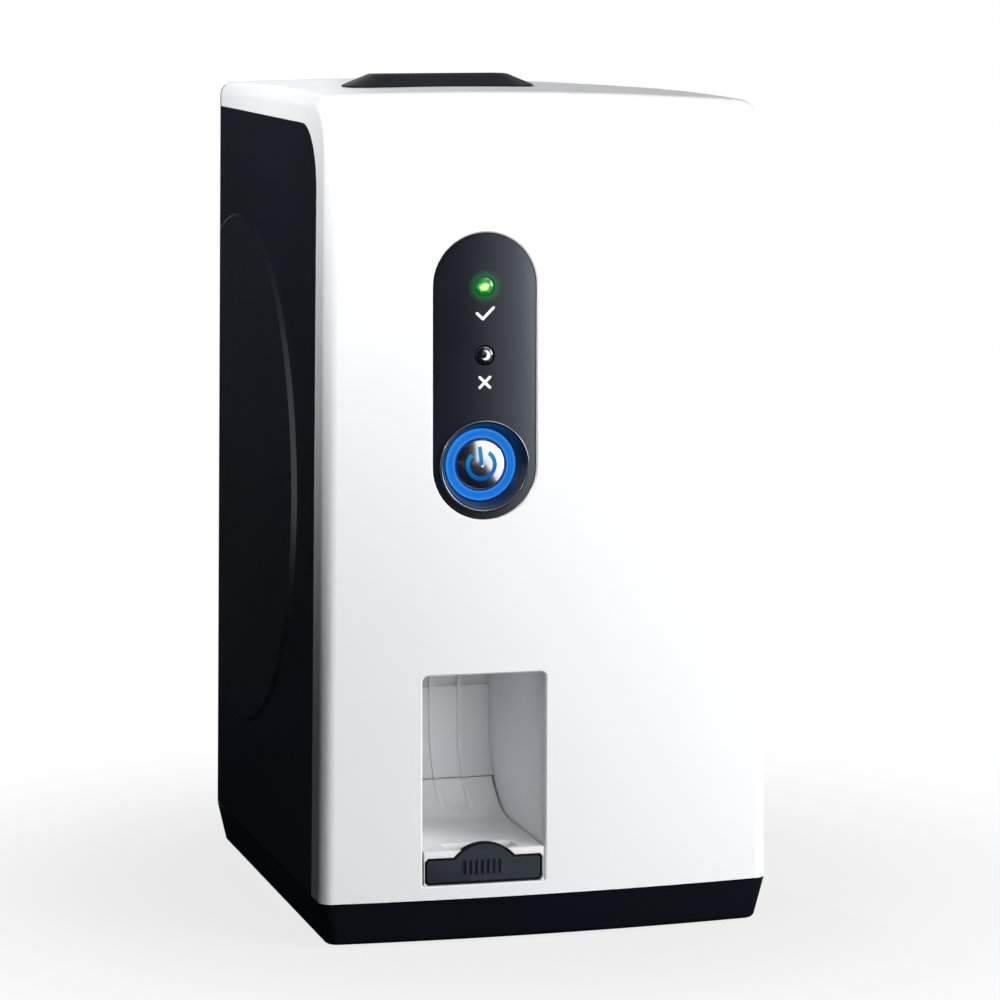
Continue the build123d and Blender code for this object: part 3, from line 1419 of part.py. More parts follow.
# Scan lens: long bar lens between the mirror and the plate
lens_front_y = 26.0
lens_half = 19.0
lens_edge_depth = 4.0
lens_middle_depth = 8.0
with BuildPart() as scan_lens:
    with BuildSketch(Plane.XY.offset(bench_top_z)):
        with BuildLine():
            Polyline(
                (path_x - lens_half, lens_front_y + lens_edge_depth),
                (path_x - lens_half, lens_front_y),
                (path_x + lens_half, lens_front_y),
                (path_x + lens_half, lens_front_y + lens_edge_depth),
            )
            ThreePointArc(
                (path_x + lens_half, lens_front_y + lens_edge_depth),
                (path_x, lens_front_y + lens_middle_depth),
                (path_x - lens_half, lens_front_y + lens_edge_depth),
            )
        make_face()
    extrude(amount=15)
scan_lens.part.label = "scan_lens"
export_step(scan_lens.part, "parts/scan_lens.step")

# Light guide: clear rod that collects the light of the plate and leads it to the tube
guide_left_x = plate_left_x + 0.5
tube_left_x = plate_right_x + 3.4
guide_right_x = tube_left_x - 0.2
with BuildPart() as light_guide:
    with BuildSketch(Plane.YZ.offset(guide_left_x)):
        with Locations((light_guide_y, light_guide_z)):
            Circle(light_guide_radius)
    extrude(amount=guide_right_x - guide_left_x)
light_guide.part.label = "light_guide"
export_step(light_guide.part, "parts/light_guide.step")

# Photomultiplier tube and its shield
shield_radius = 7.5
shield_bore = 5.8
shield_neck = 4.0
shield_left_x = plate_right_x + 1.4
with BuildPart() as photomultiplier:
    with BuildSketch(Plane.YZ.offset(tube_left_x)):
        with Locations((light_guide_y, light_guide_z)):
            Circle(tube_radius)
    extrude(amount=tube_length)
    with BuildSketch(Plane.YZ.offset(tube_left_x + tube_length)):
        with Locations((light_guide_y, light_guide_z)):
            with PolarLocations(3.4, 6):
                Circle(0.5)
    extrude(amount=5)
photomultiplier.part.label = "photomultiplier"
export_step(photomultiplier.part, "parts/photomultiplier.step")

with BuildPart() as tube_shield:
    with BuildSketch(Plane.YZ.offset(shield_left_x)):
        with Locations((light_guide_y, light_guide_z)):
            Circle(shield_radius)
    extrude(amount=tube_length + 3)
    with BuildSketch(Plane.YZ.offset(plate_right_x)):
        with Locations((light_guide_y, light_guide_z)):
            Circle(shield_neck)
    extrude(amount=shield_left_x - plate_right_x)
    with BuildSketch(Plane.YZ.offset(shield_left_x + 1.6)):
        with Locations((light_guide_y, light_guide_z)):
            Circle(shield_bore)
    extrude(amount=tube_length + 3, mode=Mode.SUBTRACT)
    with BuildSketch(Plane.YZ.offset(plate_right_x)):
        with Locations((light_guide_y, light_guide_z)):
            Circle(light_guide_radius + 0.05)
    extrude(amount=5, mode=Mode.SUBTRACT)
tube_shield.part.label = "tube_shield"
export_step(tube_shield.part, "parts/tube_shield.step")

# Eraser board: row of lamps that clears the plate after it has been read
eraser_y = -17.0
with BuildPart() as eraser_board:
    with BuildSketch(front_plane(eraser_y)):
        with Locations((path_x, erase_window[0] - 1)):
            Rectangle(frame_span, erase_window[1] - erase_window[0] + 2, align=(Align.CENTER, Align.MIN))
    extrude(amount=-board_thickness)
    with BuildSketch(front_plane(eraser_y)):
        with Locations((path_x, (erase_window[0] + erase_window[1]) / 2)):
            with GridLocations(7, 0, 6, 1):
                Rectangle(3, 3)
    extrude(amount=1.2)
eraser_board.part.label = "eraser_board"
export_step(eraser_board.part, "parts/eraser_board.step")

# Main board with its components
board_middle_x = (board_left + board_right) / 2
chips = ((26.0, -30.0, 14.0, 14.0, 1.6), (46.0, -34.0, 10.0, 12.0, 1.4), (28.0, -6.0, 9.0, 16.0, 1.6))
headers = ((50.0, -12.0, 6.0, 18.0, 7.0), (50.0, 8.0, 6.0, 12.0, 7.0), (23.0, 22.0, 5.0, 16.0, 7.0))
cans = ((33.0, 14.0), (41.0, 14.0))
with BuildPart() as main_board:
    with BuildSketch(Plane.XY.offset(main_board_z)):
        with Locations(((board_left + board_right) / 2, (board_front + board_rear) / 2)):
            Rectangle(board_right - board_left, board_rear - board_front)
        with Locations(*board_post_spots):
            Circle(board_screw_radius + 0.2, mode=Mode.SUBTRACT)
    extrude(amount=board_thickness)
    for x, y, across, along, tall in chips + headers:
        with Locations((x, y, board_top_z)):
            Box(across, along, tall, align=(Align.CENTER, Align.CENTER, Align.MIN))
    for x, y in cans:
        with Locations((x, y, board_top_z)):
            Cylinder(3, 9, align=(Align.CENTER, Align.CENTER, Align.MIN))
main_board.part.label = "main_board"
export_step(main_board.part, "parts/main_board.step")

# Supply module: screened converter on the main board
supply_length = 30.0
supply_width = 26.0
supply_height = 16.0
supply_from_rear = 49.2
supply_y = rear_y - supply_from_rear
with BuildPart() as supply_module:
    with BuildSketch(Plane.XY.offset(board_top_z)):
        with Locations((board_middle_x, supply_y)):
            Rectangle(supply_width, supply_length)
    extrude(amount=supply_height)
    fillet(supply_module.edges().filter_by(Axis.Z), radius=1)
supply_module.part.label = "supply_module"
export_step(supply_module.part, "parts/supply_module.step")

# Data socket and power inlet, flush with the rear cover
socket_length = 15.2
socket_front_y = rear_y - socket_length
socket_end_y = rear_y - 0.3
socket_depth = 9.0
with BuildPart() as data_socket:
    with BuildSketch(front_plane(socket_end_y)):
        with Locations((data_socket_x, board_top_z + data_socket_height / 2)):
            Rectangle(data_socket_width, data_socket_height)
    extrude(amount=socket_end_y - socket_front_y)
    with BuildSketch(front_plane(socket_end_y)):
        with Locations((data_socket_x, board_top_z + data_socket_height / 2)):
            Rectangle(8.6, 7.8)
            Rectangle(5.6, 3.2, mode=Mode.SUBTRACT)
    extrude(amount=socket_depth, mode=Mode.SUBTRACT)
data_socket.part.label = "data_socket"
export_step(data_socket.part, "parts/data_socket.step")

with BuildPart() as power_inlet:
    with BuildSketch(front_plane(socket_end_y)):
        with Locations((inlet_x, board_top_z + inlet_height / 2)):
            Rectangle(inlet_width, inlet_height)
    extrude(amount=socket_end_y - socket_front_y)
    with BuildSketch(front_plane(socket_end_y)):
        with Locations((inlet_x, board_top_z + inlet_height / 2)):
            Circle(2.75)
            Circle(1.0, mode=Mode.SUBTRACT)
    extrude(amount=socket_depth, mode=Mode.SUBTRACT)
power_inlet.part.label = "power_inlet"
export_step(power_inlet.part, "parts/power_inlet.step")


def screw_set(head_plane, spots, shank_radius, head_radius, head_height, length):
    """Equal screws, heads on a plane and shanks going against its direction."""
    with BuildPart() as screws:
        with BuildSketch(head_plane):
            with Locations(*spots):
                Circle(head_radius)
        extrude(amount=head_height)
        with BuildSketch(head_plane):
            with Locations(*spots):
                Circle(shank_radius)
        extrude(amount=-length)
        with BuildSketch(head_plane.offset(head_height)):
            with Locations(*spots):
                RegularPolygon(head_radius * 0.45, 6)
        extrude(amount=-head_height / 2, mode=Mode.SUBTRACT)
    return screws.part


# Screws in four sets
base_screws = screw_set(
    Plane(origin=(0, 0, head_seat_z), x_dir=(1, 0, 0), z_dir=(0, 0, -1)),
    [(-boss_x, -boss_y), (boss_x, -boss_y)],
    screw_radius,
    screw_head_radius,
    screw_head_height,
    20,
)
base_screws.label = "base_screws"
export_step(base_screws, "parts/base_screws.step")

cover_screws = screw_set(
    Plane(origin=(0, rear_y - screw_head_height, 0), x_dir=(-1, 0, 0), z_dir=(0, 1, 0)),
    cover_screw_spots,
    screw_radius,
    screw_head_radius,
    screw_head_height,
    8,
)
cover_screws.label = "cover_screws"
export_step(cover_screws, "parts/cover_screws.step")

frame_screws = screw_set(
    Plane.XY.offset(frame_foot_z + foot_thickness),
    frame_foot_spots,
    screw_radius,
    screw_head_radius,
    screw_head_height,
    5,
)
frame_screws.label = "frame_screws"
export_step(frame_screws, "parts/frame_screws.step")

with BuildPart() as board_screws:
    add(screw_set(Plane.XY.offset(board_top_z), board_post_spots, board_screw_radius, 2.2, 1.5, 8))
    add(
        screw_set(
            Plane(origin=(0, board_front_y + board_thickness, 0), x_dir=(1, 0, 0), z_dir=(0, 1, 0)),
            [(x, -z) for x, z in front_boss_spots],
            board_screw_radius,
            2.2,
            1.5,
            8,
        )
    )
board_screws.part.label = "board_screws"
export_step(board_screws.part, "parts/board_screws.step")
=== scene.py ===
import math

import bmesh
import bpy
from bpy.props import FloatProperty, FloatVectorProperty, IntProperty, PointerProperty
from bpy.types import Operator, Panel, PropertyGroup
from mathutils import Matrix, Vector


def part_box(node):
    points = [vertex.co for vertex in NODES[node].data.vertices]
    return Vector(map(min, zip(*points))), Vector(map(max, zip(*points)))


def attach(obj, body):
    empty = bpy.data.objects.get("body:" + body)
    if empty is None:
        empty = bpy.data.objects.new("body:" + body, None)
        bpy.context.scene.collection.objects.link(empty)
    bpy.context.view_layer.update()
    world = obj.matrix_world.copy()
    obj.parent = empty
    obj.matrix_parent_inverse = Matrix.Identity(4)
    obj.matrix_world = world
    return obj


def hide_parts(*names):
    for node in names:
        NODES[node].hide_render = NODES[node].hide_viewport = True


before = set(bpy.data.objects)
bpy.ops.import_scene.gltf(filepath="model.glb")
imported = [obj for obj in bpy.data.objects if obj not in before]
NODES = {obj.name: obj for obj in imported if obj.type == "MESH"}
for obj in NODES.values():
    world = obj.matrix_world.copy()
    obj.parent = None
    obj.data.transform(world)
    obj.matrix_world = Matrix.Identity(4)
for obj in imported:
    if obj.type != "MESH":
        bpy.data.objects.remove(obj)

bl_info = {
    "name": "Phosphor plate scanner",
    "version": (1, 0, 0),
    "blender": (4, 5, 0),
    "location": "3D View > Sidebar > Scanner",
    "description": "Finishes, lamps, signs and fine pieces of a desktop scanner for phosphor plates",
    "category": "Object",
}

MM = 0.001

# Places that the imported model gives
CAP_LOW, CAP_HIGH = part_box("button_cap")
BEZEL_LOW, BEZEL_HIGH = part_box("button_bezel")
READY_LOW, READY_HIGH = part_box("ready_lens")
ERROR_LOW, ERROR_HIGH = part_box("error_lens")
HANDLE_LOW, HANDLE_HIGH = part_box("tray_handle")
BRUSH_LOW, BRUSH_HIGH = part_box("slot_brushes")
PILL_LOW, PILL_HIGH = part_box("control_panel")
BOARD_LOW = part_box("main_board")[0]
MIDDLE_X = (CAP_LOW.x + CAP_HIGH.x) / 2
PILL_X = (PILL_LOW.x + PILL_HIGH.x) / 2
PILL_RADIUS = (PILL_HIGH.x - PILL_LOW.x) / 2
PILL_TOP_Z = PILL_HIGH.z - PILL_RADIUS
PILL_BOTTOM_Z = PILL_LOW.z + PILL_RADIUS
BUTTON_Z = (CAP_LOW.z + CAP_HIGH.z) / 2
READY_Z = (READY_LOW.z + READY_HIGH.z) / 2
ERROR_Z = (ERROR_LOW.z + ERROR_HIGH.z) / 2

# Sizes that the solids give to the pieces made on them
LENS_RADIUS, LENS_REACH = 3.5 * MM, 2.84 * MM
COLLAR_RADIUS, COLLAR_DEPTH = 4.6 * MM, 0.9 * MM
CAP_RADIUS, CAP_RISE = 8.4 * MM, 1.0 * MM
CAP_DOME = (CAP_RADIUS**2 + CAP_RISE**2) / (2 * CAP_RISE)
BEZEL_WIDTH, BEZEL_ROUND = 1.1 * MM, 0.5 * MM
RING_RADIUS, RING_WIDTH = 8.7 * MM, 4.0 * MM
COVER_HALF = 20.9 * MM
BOARD_FACE = 1.62 * MM
HANDLE_BOW = 1.2 * MM

# Sizes of the pieces that are made here
MERGE = 0.002 * MM
TURNING_LINE = 0.12 * MM
CROWN_REACH = 18.5 * MM
ROUND_STEPS = 8
PRINT_LIFT, PRINT_DEPTH, PRINT_STEP, PRINT_SLOPE = 0.02 * MM, 0.16 * MM, 0.002 * MM, -0.030
SIGN_TILT, SIGN_GAP, ARC_STEPS = 5.0, 38, 48
RIB_WIDTH, RIB_ROOT, RIB_WAIST = 1.0 * MM, 0.3 * MM, 0.45
RIB_NARROWER, RIB_SHORTER, RIB_RISE = 0.62, 0.94, 6.0 * MM
BRISTLE_MARGIN = 0.4 * MM
BRISTLE_ROWS = (-2.6, -1.9, -1.2, 1.2, 1.9, 2.6)
SCREW_SEGMENTS, THREAD_PITCH = 36, 0.6 * MM

# Colours that several finishes share
NEAR_BLACK = (0.012, 0.012, 0.013)
SOFT_BLACK = (0.02, 0.02, 0.022)
PALE_STEEL = (0.60, 0.61, 0.62)
LACQUER = (0.012, 0.12, 0.05)
WHITE = (1, 1, 1, 1)

# The studio, in metres: each lamp's place, aim, size, watts and spread in degrees
LAMPS = (
    ("Key lamp", (0.75, -1.15, 1.15), (0.0, 0.0, 0.16), 0.9, 9.5, 180),
    ("Right lamp", (1.35, -1.10, 0.42), (0.0, 0.0, 0.12), 0.7, 22.5, 180),
    ("Front lamp", (0.16, -1.9, 0.36), (0.0, 0.0, 0.12), 0.7, 11.5, 180),
    ("Left lamp", (-0.95, -0.40, 0.70), (-0.08, 0.0, 0.42), 0.12, 0.72, 31),
    ("Rear lamp", (0.7, 1.5, 0.9), (0.0, 0.0, 0.16), 0.9, 0.5, 180),
)

# The corners of the cards that stand round the scanner and of the mats that lie before it
CARDS = (
    ("card_left", ((-0.62, 0.42, 0.0), (-0.09, 0.42, 0.0), (-0.09, 0.42, 0.9), (-0.62, 0.42, 0.9))),
    ("mat_left", ((-0.70, -0.02, 0.001), (-0.05, -0.02, 0.001), (-0.05, 0.42, 0.001), (-0.70, 0.42, 0.001))),
    ("card_front", ((-1.5, -2.5, 0.0), (0.36, -2.5, 0.0), (0.36, -2.5, 1.5), (-1.5, -2.5, 1.5))),
    ("mat_front", ((-1.0, -2.4, 0.001), (0.72, -2.4, 0.001), (0.10, -0.02, 0.001), (-1.0, -0.02, 0.001))),
    ("card_rear", ((0.14, 0.9, 0.2), (0.9, 0.9, 0.2), (0.9, 0.9, 0.75), (0.20, 0.9, 0.75))),
)
FLOOR_HALF = 4.0

# The camera's place in metres, its yaw, pitch and roll in degrees, and its focal length in millimetres
CAMERA_PLACE = (-0.393974, -1.423951, 0.354574)
CAMERA_ANGLES = (15.716, 8.066, 0.154)
CAMERA_LENS = 144.865


class ScannerSizes(PropertyGroup):
    """Sizes of the signs and the fine pieces."""

    sign_radius: FloatProperty(
        name="Power sign radius", default=5.6 * MM, unit="LENGTH",
        description="Outer radius of the arc of the power sign on the button",
    )
    sign_stroke: FloatProperty(
        name="Power sign stroke", default=1.45 * MM, unit="LENGTH",
        description="Width of the strokes of the power sign",
    )
    mark_height: FloatProperty(
        name="Mark height", default=4.0 * MM, unit="LENGTH",
        description="Height of the tick and the cross that are printed under the lamps",
    )
    mark_stroke: FloatProperty(
        name="Mark stroke", default=1.0 * MM, unit="LENGTH",
        description="Width of the strokes of the tick and the cross",
    )
    mark_drop: FloatProperty(
        name="Mark drop", default=9.4 * MM, unit="LENGTH",
        description="How far under the middle of its lamp a mark stands",
    )
    panel_crown: FloatProperty(
        name="Panel crown", default=2.1 * MM, unit="LENGTH",
        description="How far the gloss of the control panel curves away towards its two long edges",
    )
    handle_edge: FloatProperty(
        name="Handle edge", default=0.22 * MM, unit="LENGTH",
        description="Width of the rounding along the edges of the tray handle",
    )
    pad_inset: FloatProperty(
        name="Pad inset", default=0.85 * MM, unit="LENGTH",
        description="How far inside the outline of the tray handle its raised pad begins",
    )
    pad_height: FloatProperty(
        name="Pad height", default=0.45 * MM, unit="LENGTH",
        description="How far the pad stands out of the tray handle",
    )
    rib_depth: FloatProperty(
        name="Grip rib depth", default=0.40 * MM, unit="LENGTH",
        description="How far a grip rib stands out of the pad",
    )
    grip_count: IntProperty(
        name="Grip ribs", default=7, min=1,
        description="Number of upright grip ribs on the tray handle",
    )
    grip_pitch: FloatProperty(
        name="Grip pitch", default=2.1 * MM, unit="LENGTH",
        description="Distance from one grip rib to the next",
    )
    grip_height: FloatProperty(
        name="Grip height", default=5.2 * MM, unit="LENGTH",
        description="Height of a grip rib",
    )
    bristle_count: IntProperty(
        name="Bristles", default=120, min=1,
        description="Number of bristles in one row of a slot brush",
    )
    bristle_radius: FloatProperty(
        name="Bristle radius", default=0.12 * MM, unit="LENGTH",
        description="Radius of one bristle",
    )


class ScannerColours(PropertyGroup):
    """Colours of the finishes."""

    shell: FloatVectorProperty(
        name="Housing white", default=(0.86, 0.87, 0.885), subtype="COLOR", min=0.0, max=1.0,
        description="Colour of the moulded front shell",
    )
    panel: FloatVectorProperty(
        name="Panel black", default=(0.0055, 0.0078, 0.0115), subtype="COLOR", min=0.0, max=1.0,
        description="Colour of the side panels, the rear cover and the feed cap",
    )
    skirt: FloatVectorProperty(
        name="Skirt black", default=(0.0040, 0.0055, 0.0085), subtype="COLOR", min=0.0, max=1.0,
        description="Colour of the base pan",
    )
    liner: FloatVectorProperty(
        name="Liner grey", default=(0.84, 0.855, 0.875), subtype="COLOR", min=0.0, max=1.0,
        description="Colour of the walls of the collecting bin",
    )
    tray: FloatVectorProperty(
        name="Tray white", default=(0.935, 0.94, 0.945), subtype="COLOR", min=0.0, max=1.0,
        description="Colour of the pull-out tray",
    )
    handle: FloatVectorProperty(
        name="Handle grey", default=(0.028, 0.034, 0.044), subtype="COLOR", min=0.0, max=1.0,
        description="Colour of the tray handle",
    )
    glow_blue: FloatVectorProperty(
        name="Ring blue", default=(0.0, 0.15, 0.62), subtype="COLOR", min=0.0, max=1.0,
        description="Colour of the lit ring round the button",
    )
    glow_green: FloatVectorProperty(
        name="Ready green", default=(0.01, 0.55, 0.05), subtype="COLOR", min=0.0, max=1.0,
        description="Colour of the lit ready lamp",
    )
    mark: FloatVectorProperty(
        name="Print white", default=(0.86, 0.87, 0.88), subtype="COLOR", min=0.0, max=1.0,
        description="Colour of the printed marks",
    )


# ---------------------------------------------------------------- finishes


def opaque(value):
    """A colour with full alpha; what another node gives stays as it is."""
    return value if isinstance(value, bpy.types.NodeSocket) else (*value[:3], 1.0)


class Wiring:
    """A node tree whose nodes are wired as they are added."""

    def __init__(self, tree):
        self.tree = tree

    def put(self, socket, value):
        """Link a socket, or set it if the value isn't one."""
        if isinstance(value, bpy.types.NodeSocket):
            self.tree.links.new(value, socket)
        else:
            socket.default_value = value

    def add(self, kind, wires, output=0, **settings):
        """A new node with its inputs linked or set; gives the output that is asked for."""
        made = self.tree.nodes.new(kind)
        for key, value in settings.items():
            setattr(made, key, value)
        for socket, value in wires.items():
            self.put(made.inputs[socket], value)
        return made.outputs[output]

    def looked_at(self):
        """1 where the camera, a gloss or a glass looks at a surface, 0 where it only gives light."""
        rays = self.tree.nodes.new("ShaderNodeLightPath").outputs
        seen = rays["Is Camera Ray"]
        for kind in ("Is Glossy Ray", "Is Transmission Ray"):
            seen = self.add("ShaderNodeMath", {0: seen, 1: rays[kind]}, operation="MAXIMUM")
        return seen

    def end_mixed(self, output, factor, first, second):
        """End the tree with a mix of two shaders."""
        self.put(output.inputs["Surface"], self.add("ShaderNodeMixShader", {0: factor, 1: first, 2: second}))


class Finish(Wiring):
    """A material with its shader and the few kinds of node that the finishes use."""

    def __init__(self, name):
        self.material = bpy.data.materials.new(name)
        self.material.use_nodes = True
        super().__init__(self.material.node_tree)
        self.shader = self.tree.nodes["Principled BSDF"]
        self.place = self.tree.nodes.new("ShaderNodeTexCoord").outputs["Object"]

    def math(self, operation, first, second=0.0):
        return self.add("ShaderNodeMath", {0: first, 1: second}, operation=operation)

    def mapped(self, scale=(1, 1, 1), rotation=(0, 0, 0)):
        return self.add("ShaderNodeMapping", {"Vector": self.place, "Rotation": rotation, "Scale": scale})

    def noise(self, size, detail=2.0, where=None):
        wires = {"Vector": where or self.place, "Scale": 1.0 / size, "Detail": detail}
        return self.add("ShaderNodeTexNoise", wires, "Fac")

    def spread(self, value, low, high, start=0.3, end=0.7):
        """A value from start to end, drawn out softly from low to high."""
        wires = {"Value": value, "From Min": start, "From Max": end, "To Min": low, "To Max": high}
        return self.add("ShaderNodeMapRange", wires, "Result", interpolation_type="SMOOTHSTEP")

    def mix(self, factor, first, second):
        wires = {"Factor": factor, "A": opaque(first), "B": opaque(second)}
        return self.add("ShaderNodeMix", wires, "Result", data_type="RGBA")

    def axis(self, letter):
        return self.add("ShaderNodeSeparateXYZ", {0: self.place}, letter)

    def past(self, letter, value):
        """How far a coordinate lies past a value."""
        return self.math("SUBTRACT", self.axis(letter), value)

    def square(self, value):
        return self.math("POWER", value, 2.0)

    def reach(self, x=None, y=None, z=None):
        """Distance from a line or a point, given by the coordinates that count."""
        total = None
        for letter, value in (("X", x), ("Y", y), ("Z", z)):
            if value is not None:
                part = self.square(self.past(letter, value))
                total = part if total is None else self.math("ADD", total, part)
        return self.math("SQRT", total)

    def ramp(self, value, stops):
        colour = self.add("ShaderNodeValToRGB", {"Fac": value}, "Color")
        elements = colour.node.color_ramp.elements
        while len(elements) < len(stops):
            elements.new(0.5)
        for element, (position, tone) in zip(elements, stops):
            element.position = position
            element.color = opaque(tone)
        return colour

    def give(self, socket, value):
        """Link or set a socket of the shader."""
        self.put(self.shader.inputs[socket], value)

    def given(self, socket):
        """What is linked to a socket of the shader so far."""
        return self.shader.inputs[socket].links[0].from_socket

    def colour(self, value):
        self.give("Base Color", value)

    def tones(self, value, colour, low, high):
        """A colour that sways between two shares of one tone."""
        self.colour(self.mix(self.spread(value, 0, 1), scaled(colour, low), scaled(colour, high)))

    def blotches(self, size, first, second):
        """A colour that drifts between two tones."""
        self.colour(self.mix(self.noise(size), first, second))

    def rough(self, value):
        self.give("Roughness", value)

    def patchy(self, size, low, high, detail=2.0):
        """A roughness that drifts between two levels."""
        self.rough(self.spread(self.noise(size, detail), low, high))

    def shine(self, colour, strength):
        """Light of its own."""
        self.give("Emission Color", colour)
        self.give("Emission Strength", strength)

    def relief(self, height, depth, below=None):
        wires = {"Strength": 1.0, "Distance": depth, "Height": height}
        if below is not None:
            wires["Normal"] = below
        normal = self.add("ShaderNodeBump", wires, "Normal")
        self.give("Normal", normal)
        return normal

    def gloss(self, level):
        self.give("Specular IOR Level", level)


def scaled(colour, amount):
    return tuple(min(1.0, channel * amount) for channel in colour[:3])


def moulded(name, colour, roughness, gloss=0.5, grain=0.6 * MM, depth=0.002 * MM, tone=0.03):
    """Moulded plastic with an eroded grain, and a tone and a gloss that change slowly."""
    finish = Finish(name)
    slow = finish.noise(60 * MM)
    finish.tones(slow, colour, 1 - tone, 1 + tone)
    finish.patchy(35 * MM, roughness - 0.012, roughness + 0.012)
    finish.relief(finish.noise(grain), depth)
    finish.gloss(gloss)
    return finish


def turned_metal(name, colour, roughness, centre, depth):
    """Metal with fine turning lines round an axis along Y."""
    finish = Finish(name)
    reach = finish.reach(x=centre[0], z=centre[2])
    wires = {"W": reach, "Scale": 1.0 / TURNING_LINE, "Detail": 3.0}
    lines = finish.add("ShaderNodeTexNoise", wires, "Fac", noise_dimensions="1D")
    haze = finish.noise(6 * MM, 3.0)
    finish.tones(haze, colour, 0.95, 1.04)
    finish.rough(finish.spread(lines, roughness - 0.05, roughness + 0.08))
    finish.relief(lines, depth)
    finish.give("Metallic", 1.0)
    return finish


def drawn_metal(name, colour, roughness, stretch=(0.04, 1, 1), grain=0.2 * MM, depth=0.006 * MM):
    """Rolled or drawn metal with fine lines along one way and faint handling marks."""
    finish = Finish(name)
    lines = finish.noise(grain, 3.0, finish.mapped(scale=stretch))
    haze = finish.noise(16 * MM, 4.0)
    finish.tones(haze, colour, 0.88, 1.06)
    finish.rough(finish.spread(lines, roughness - 0.06, roughness + 0.10))
    finish.relief(lines, depth)
    finish.give("Metallic", 1.0)
    return finish


def soft_rubber(name, colour):
    """Matt ground rubber."""
    finish = Finish(name)
    wear = finish.noise(5 * MM, 5.0)
    finish.tones(wear, colour, 0.8, 1.35)
    finish.patchy(2 * MM, 0.72, 0.9, 3.0)
    finish.relief(finish.noise(0.25 * MM, 4.0), 0.03 * MM)
    finish.gloss(0.3)
    return finish


def pressed_felt(name, colour):
    """Short dark fibres."""
    finish = Finish(name)
    fibres = finish.noise(0.18 * MM, 5.0, finish.mapped(scale=(1, 1, 0.25)))
    finish.tones(fibres, colour, 0.5, 1.6)
    finish.rough(0.95)
    finish.relief(fibres, 0.08 * MM)
    finish.give("Sheen Weight", 0.4)
    finish.gloss(0.15)
    return finish


def printed_board(name, colour):
    """Circuit board: lacquer over copper tracks, with a sprinkle of pads."""
    finish = Finish(name)
    across = finish.mapped(rotation=(math.radians(90), 0, math.radians(90)))
    wires = {"Vector": across, "Scale": 160.0, "Mortar Size": 0.05}
    wires.update({"Color1": opaque(scaled(colour, 0.85)), "Color2": opaque(scaled(colour, 1.05))})
    wires["Mortar"] = opaque(scaled(colour, 1.9))
    tracks = finish.add("ShaderNodeTexBrick", wires, "Color")
    wires = {"Vector": finish.place, "Scale": 320.0}
    dots = finish.add("ShaderNodeTexVoronoi", wires, "Distance", feature="F1")
    pads = finish.spread(dots, 1.0, 0.0, 0.16, 0.2)
    finish.colour(finish.mix(pads, tracks, (0.55, 0.46, 0.24)))
    finish.patchy(4 * MM, 0.28, 0.42)
    finish.relief(tracks.node.outputs["Fac"], 0.02 * MM)
    return finish


def clear_glass(name, tint, roughness=0.03, bend=1.5):
    """Polished glass or clear acrylic, with a trace of streaks."""
    finish = Finish(name)
    streak = finish.noise(3 * MM, 3.0)
    finish.tones(streak, tint, 0.97, 1.02)
    finish.rough(finish.spread(streak, roughness, roughness + 0.03))
    finish.relief(finish.noise(2 * MM), 0.002 * MM)
    finish.give("Transmission Weight", 1.0)
    finish.give("IOR", bend)
    return finish


def dress(finish, *names):
    """Give carried-over nodes their finish."""
    for name in names:
        slots = NODES[name].data.materials
        slots.clear()
        slots.append(finish.material)


# ---------------------------------------------------------------- shapes


def placed(name, data):
    """A new object in the scene."""
    made = bpy.data.objects.new(name, data)
    bpy.context.scene.collection.objects.link(made)
    return made


def mesh_object(name, shape, finish, smooth=True):
    """A new object from a bmesh, its faces turned outwards."""
    bmesh.ops.recalc_face_normals(shape, faces=shape.faces)
    data = bpy.data.meshes.new(name)
    shape.to_mesh(data)
    shape.free()
    data.materials.append(finish.material)
    for face in data.polygons:
        face.use_smooth = smooth
    return placed(name, data)


def sharpen(piece, degrees=35):
    """Smooth shading with crisp edges past an angle."""
    for face in piece.data.polygons:
        face.use_smooth = True
    piece.data.set_sharp_from_angle(angle=math.radians(degrees))
    return piece


def skinned(shape, rows):
    """Faces between each row of points and the next; a row may be a single point."""
    segments = max(len(row) for row in rows)
    for first, second in zip(rows, rows[1:]):
        for step in range(segments):
            after = (step + 1) % segments
            corners = [first[step % len(first)], first[after % len(first)]]
            corners += [second[after % len(second)], second[step % len(second)]]
            unique = list(dict.fromkeys(corners))
            if len(unique) > 2:
                shape.faces.new(unique)


def turned(profile, segments, centre, loop=False):
    """A form turned round an axis along Y: its profile holds (radius, y) pairs."""
    shape = bmesh.new()
    angles = [2 * math.pi * step / segments for step in range(segments)]
    rows = []
    for radius, y in profile:
        if radius <= 0:
            rows.append([shape.verts.new((centre[0], y, centre[2]))])
            continue
        row = []
        for angle in angles:
            place = (centre[0] + radius * math.cos(angle), y, centre[2] + radius * math.sin(angle))
            row.append(shape.verts.new(place))
        rows.append(row)
    skinned(shape, rows + rows[:1] if loop else rows)
    return shape


def applied(piece, name):
    """The piece with its modifiers worked into a plain mesh."""
    bpy.context.view_layer.update()
    evaluated = piece.evaluated_get(bpy.context.evaluated_depsgraph_get())
    data = bpy.data.meshes.new_from_object(evaluated)
    piece.modifiers.clear()
    old = piece.data
    piece.data = data
    bpy.data.meshes.remove(old)
    data.name = name
    return piece


def merged_copy(node, name, finish):
    """A copy of a carried-over node with its loose triangles joined."""
    shape = bmesh.new()
    shape.from_mesh(NODES[node].data)
    bmesh.ops.remove_doubles(shape, verts=shape.verts, dist=MERGE)
    bmesh.ops.dissolve_limit(shape, angle_limit=math.radians(1.0), verts=shape.verts, edges=shape.edges)
    return mesh_object(name, shape, finish)


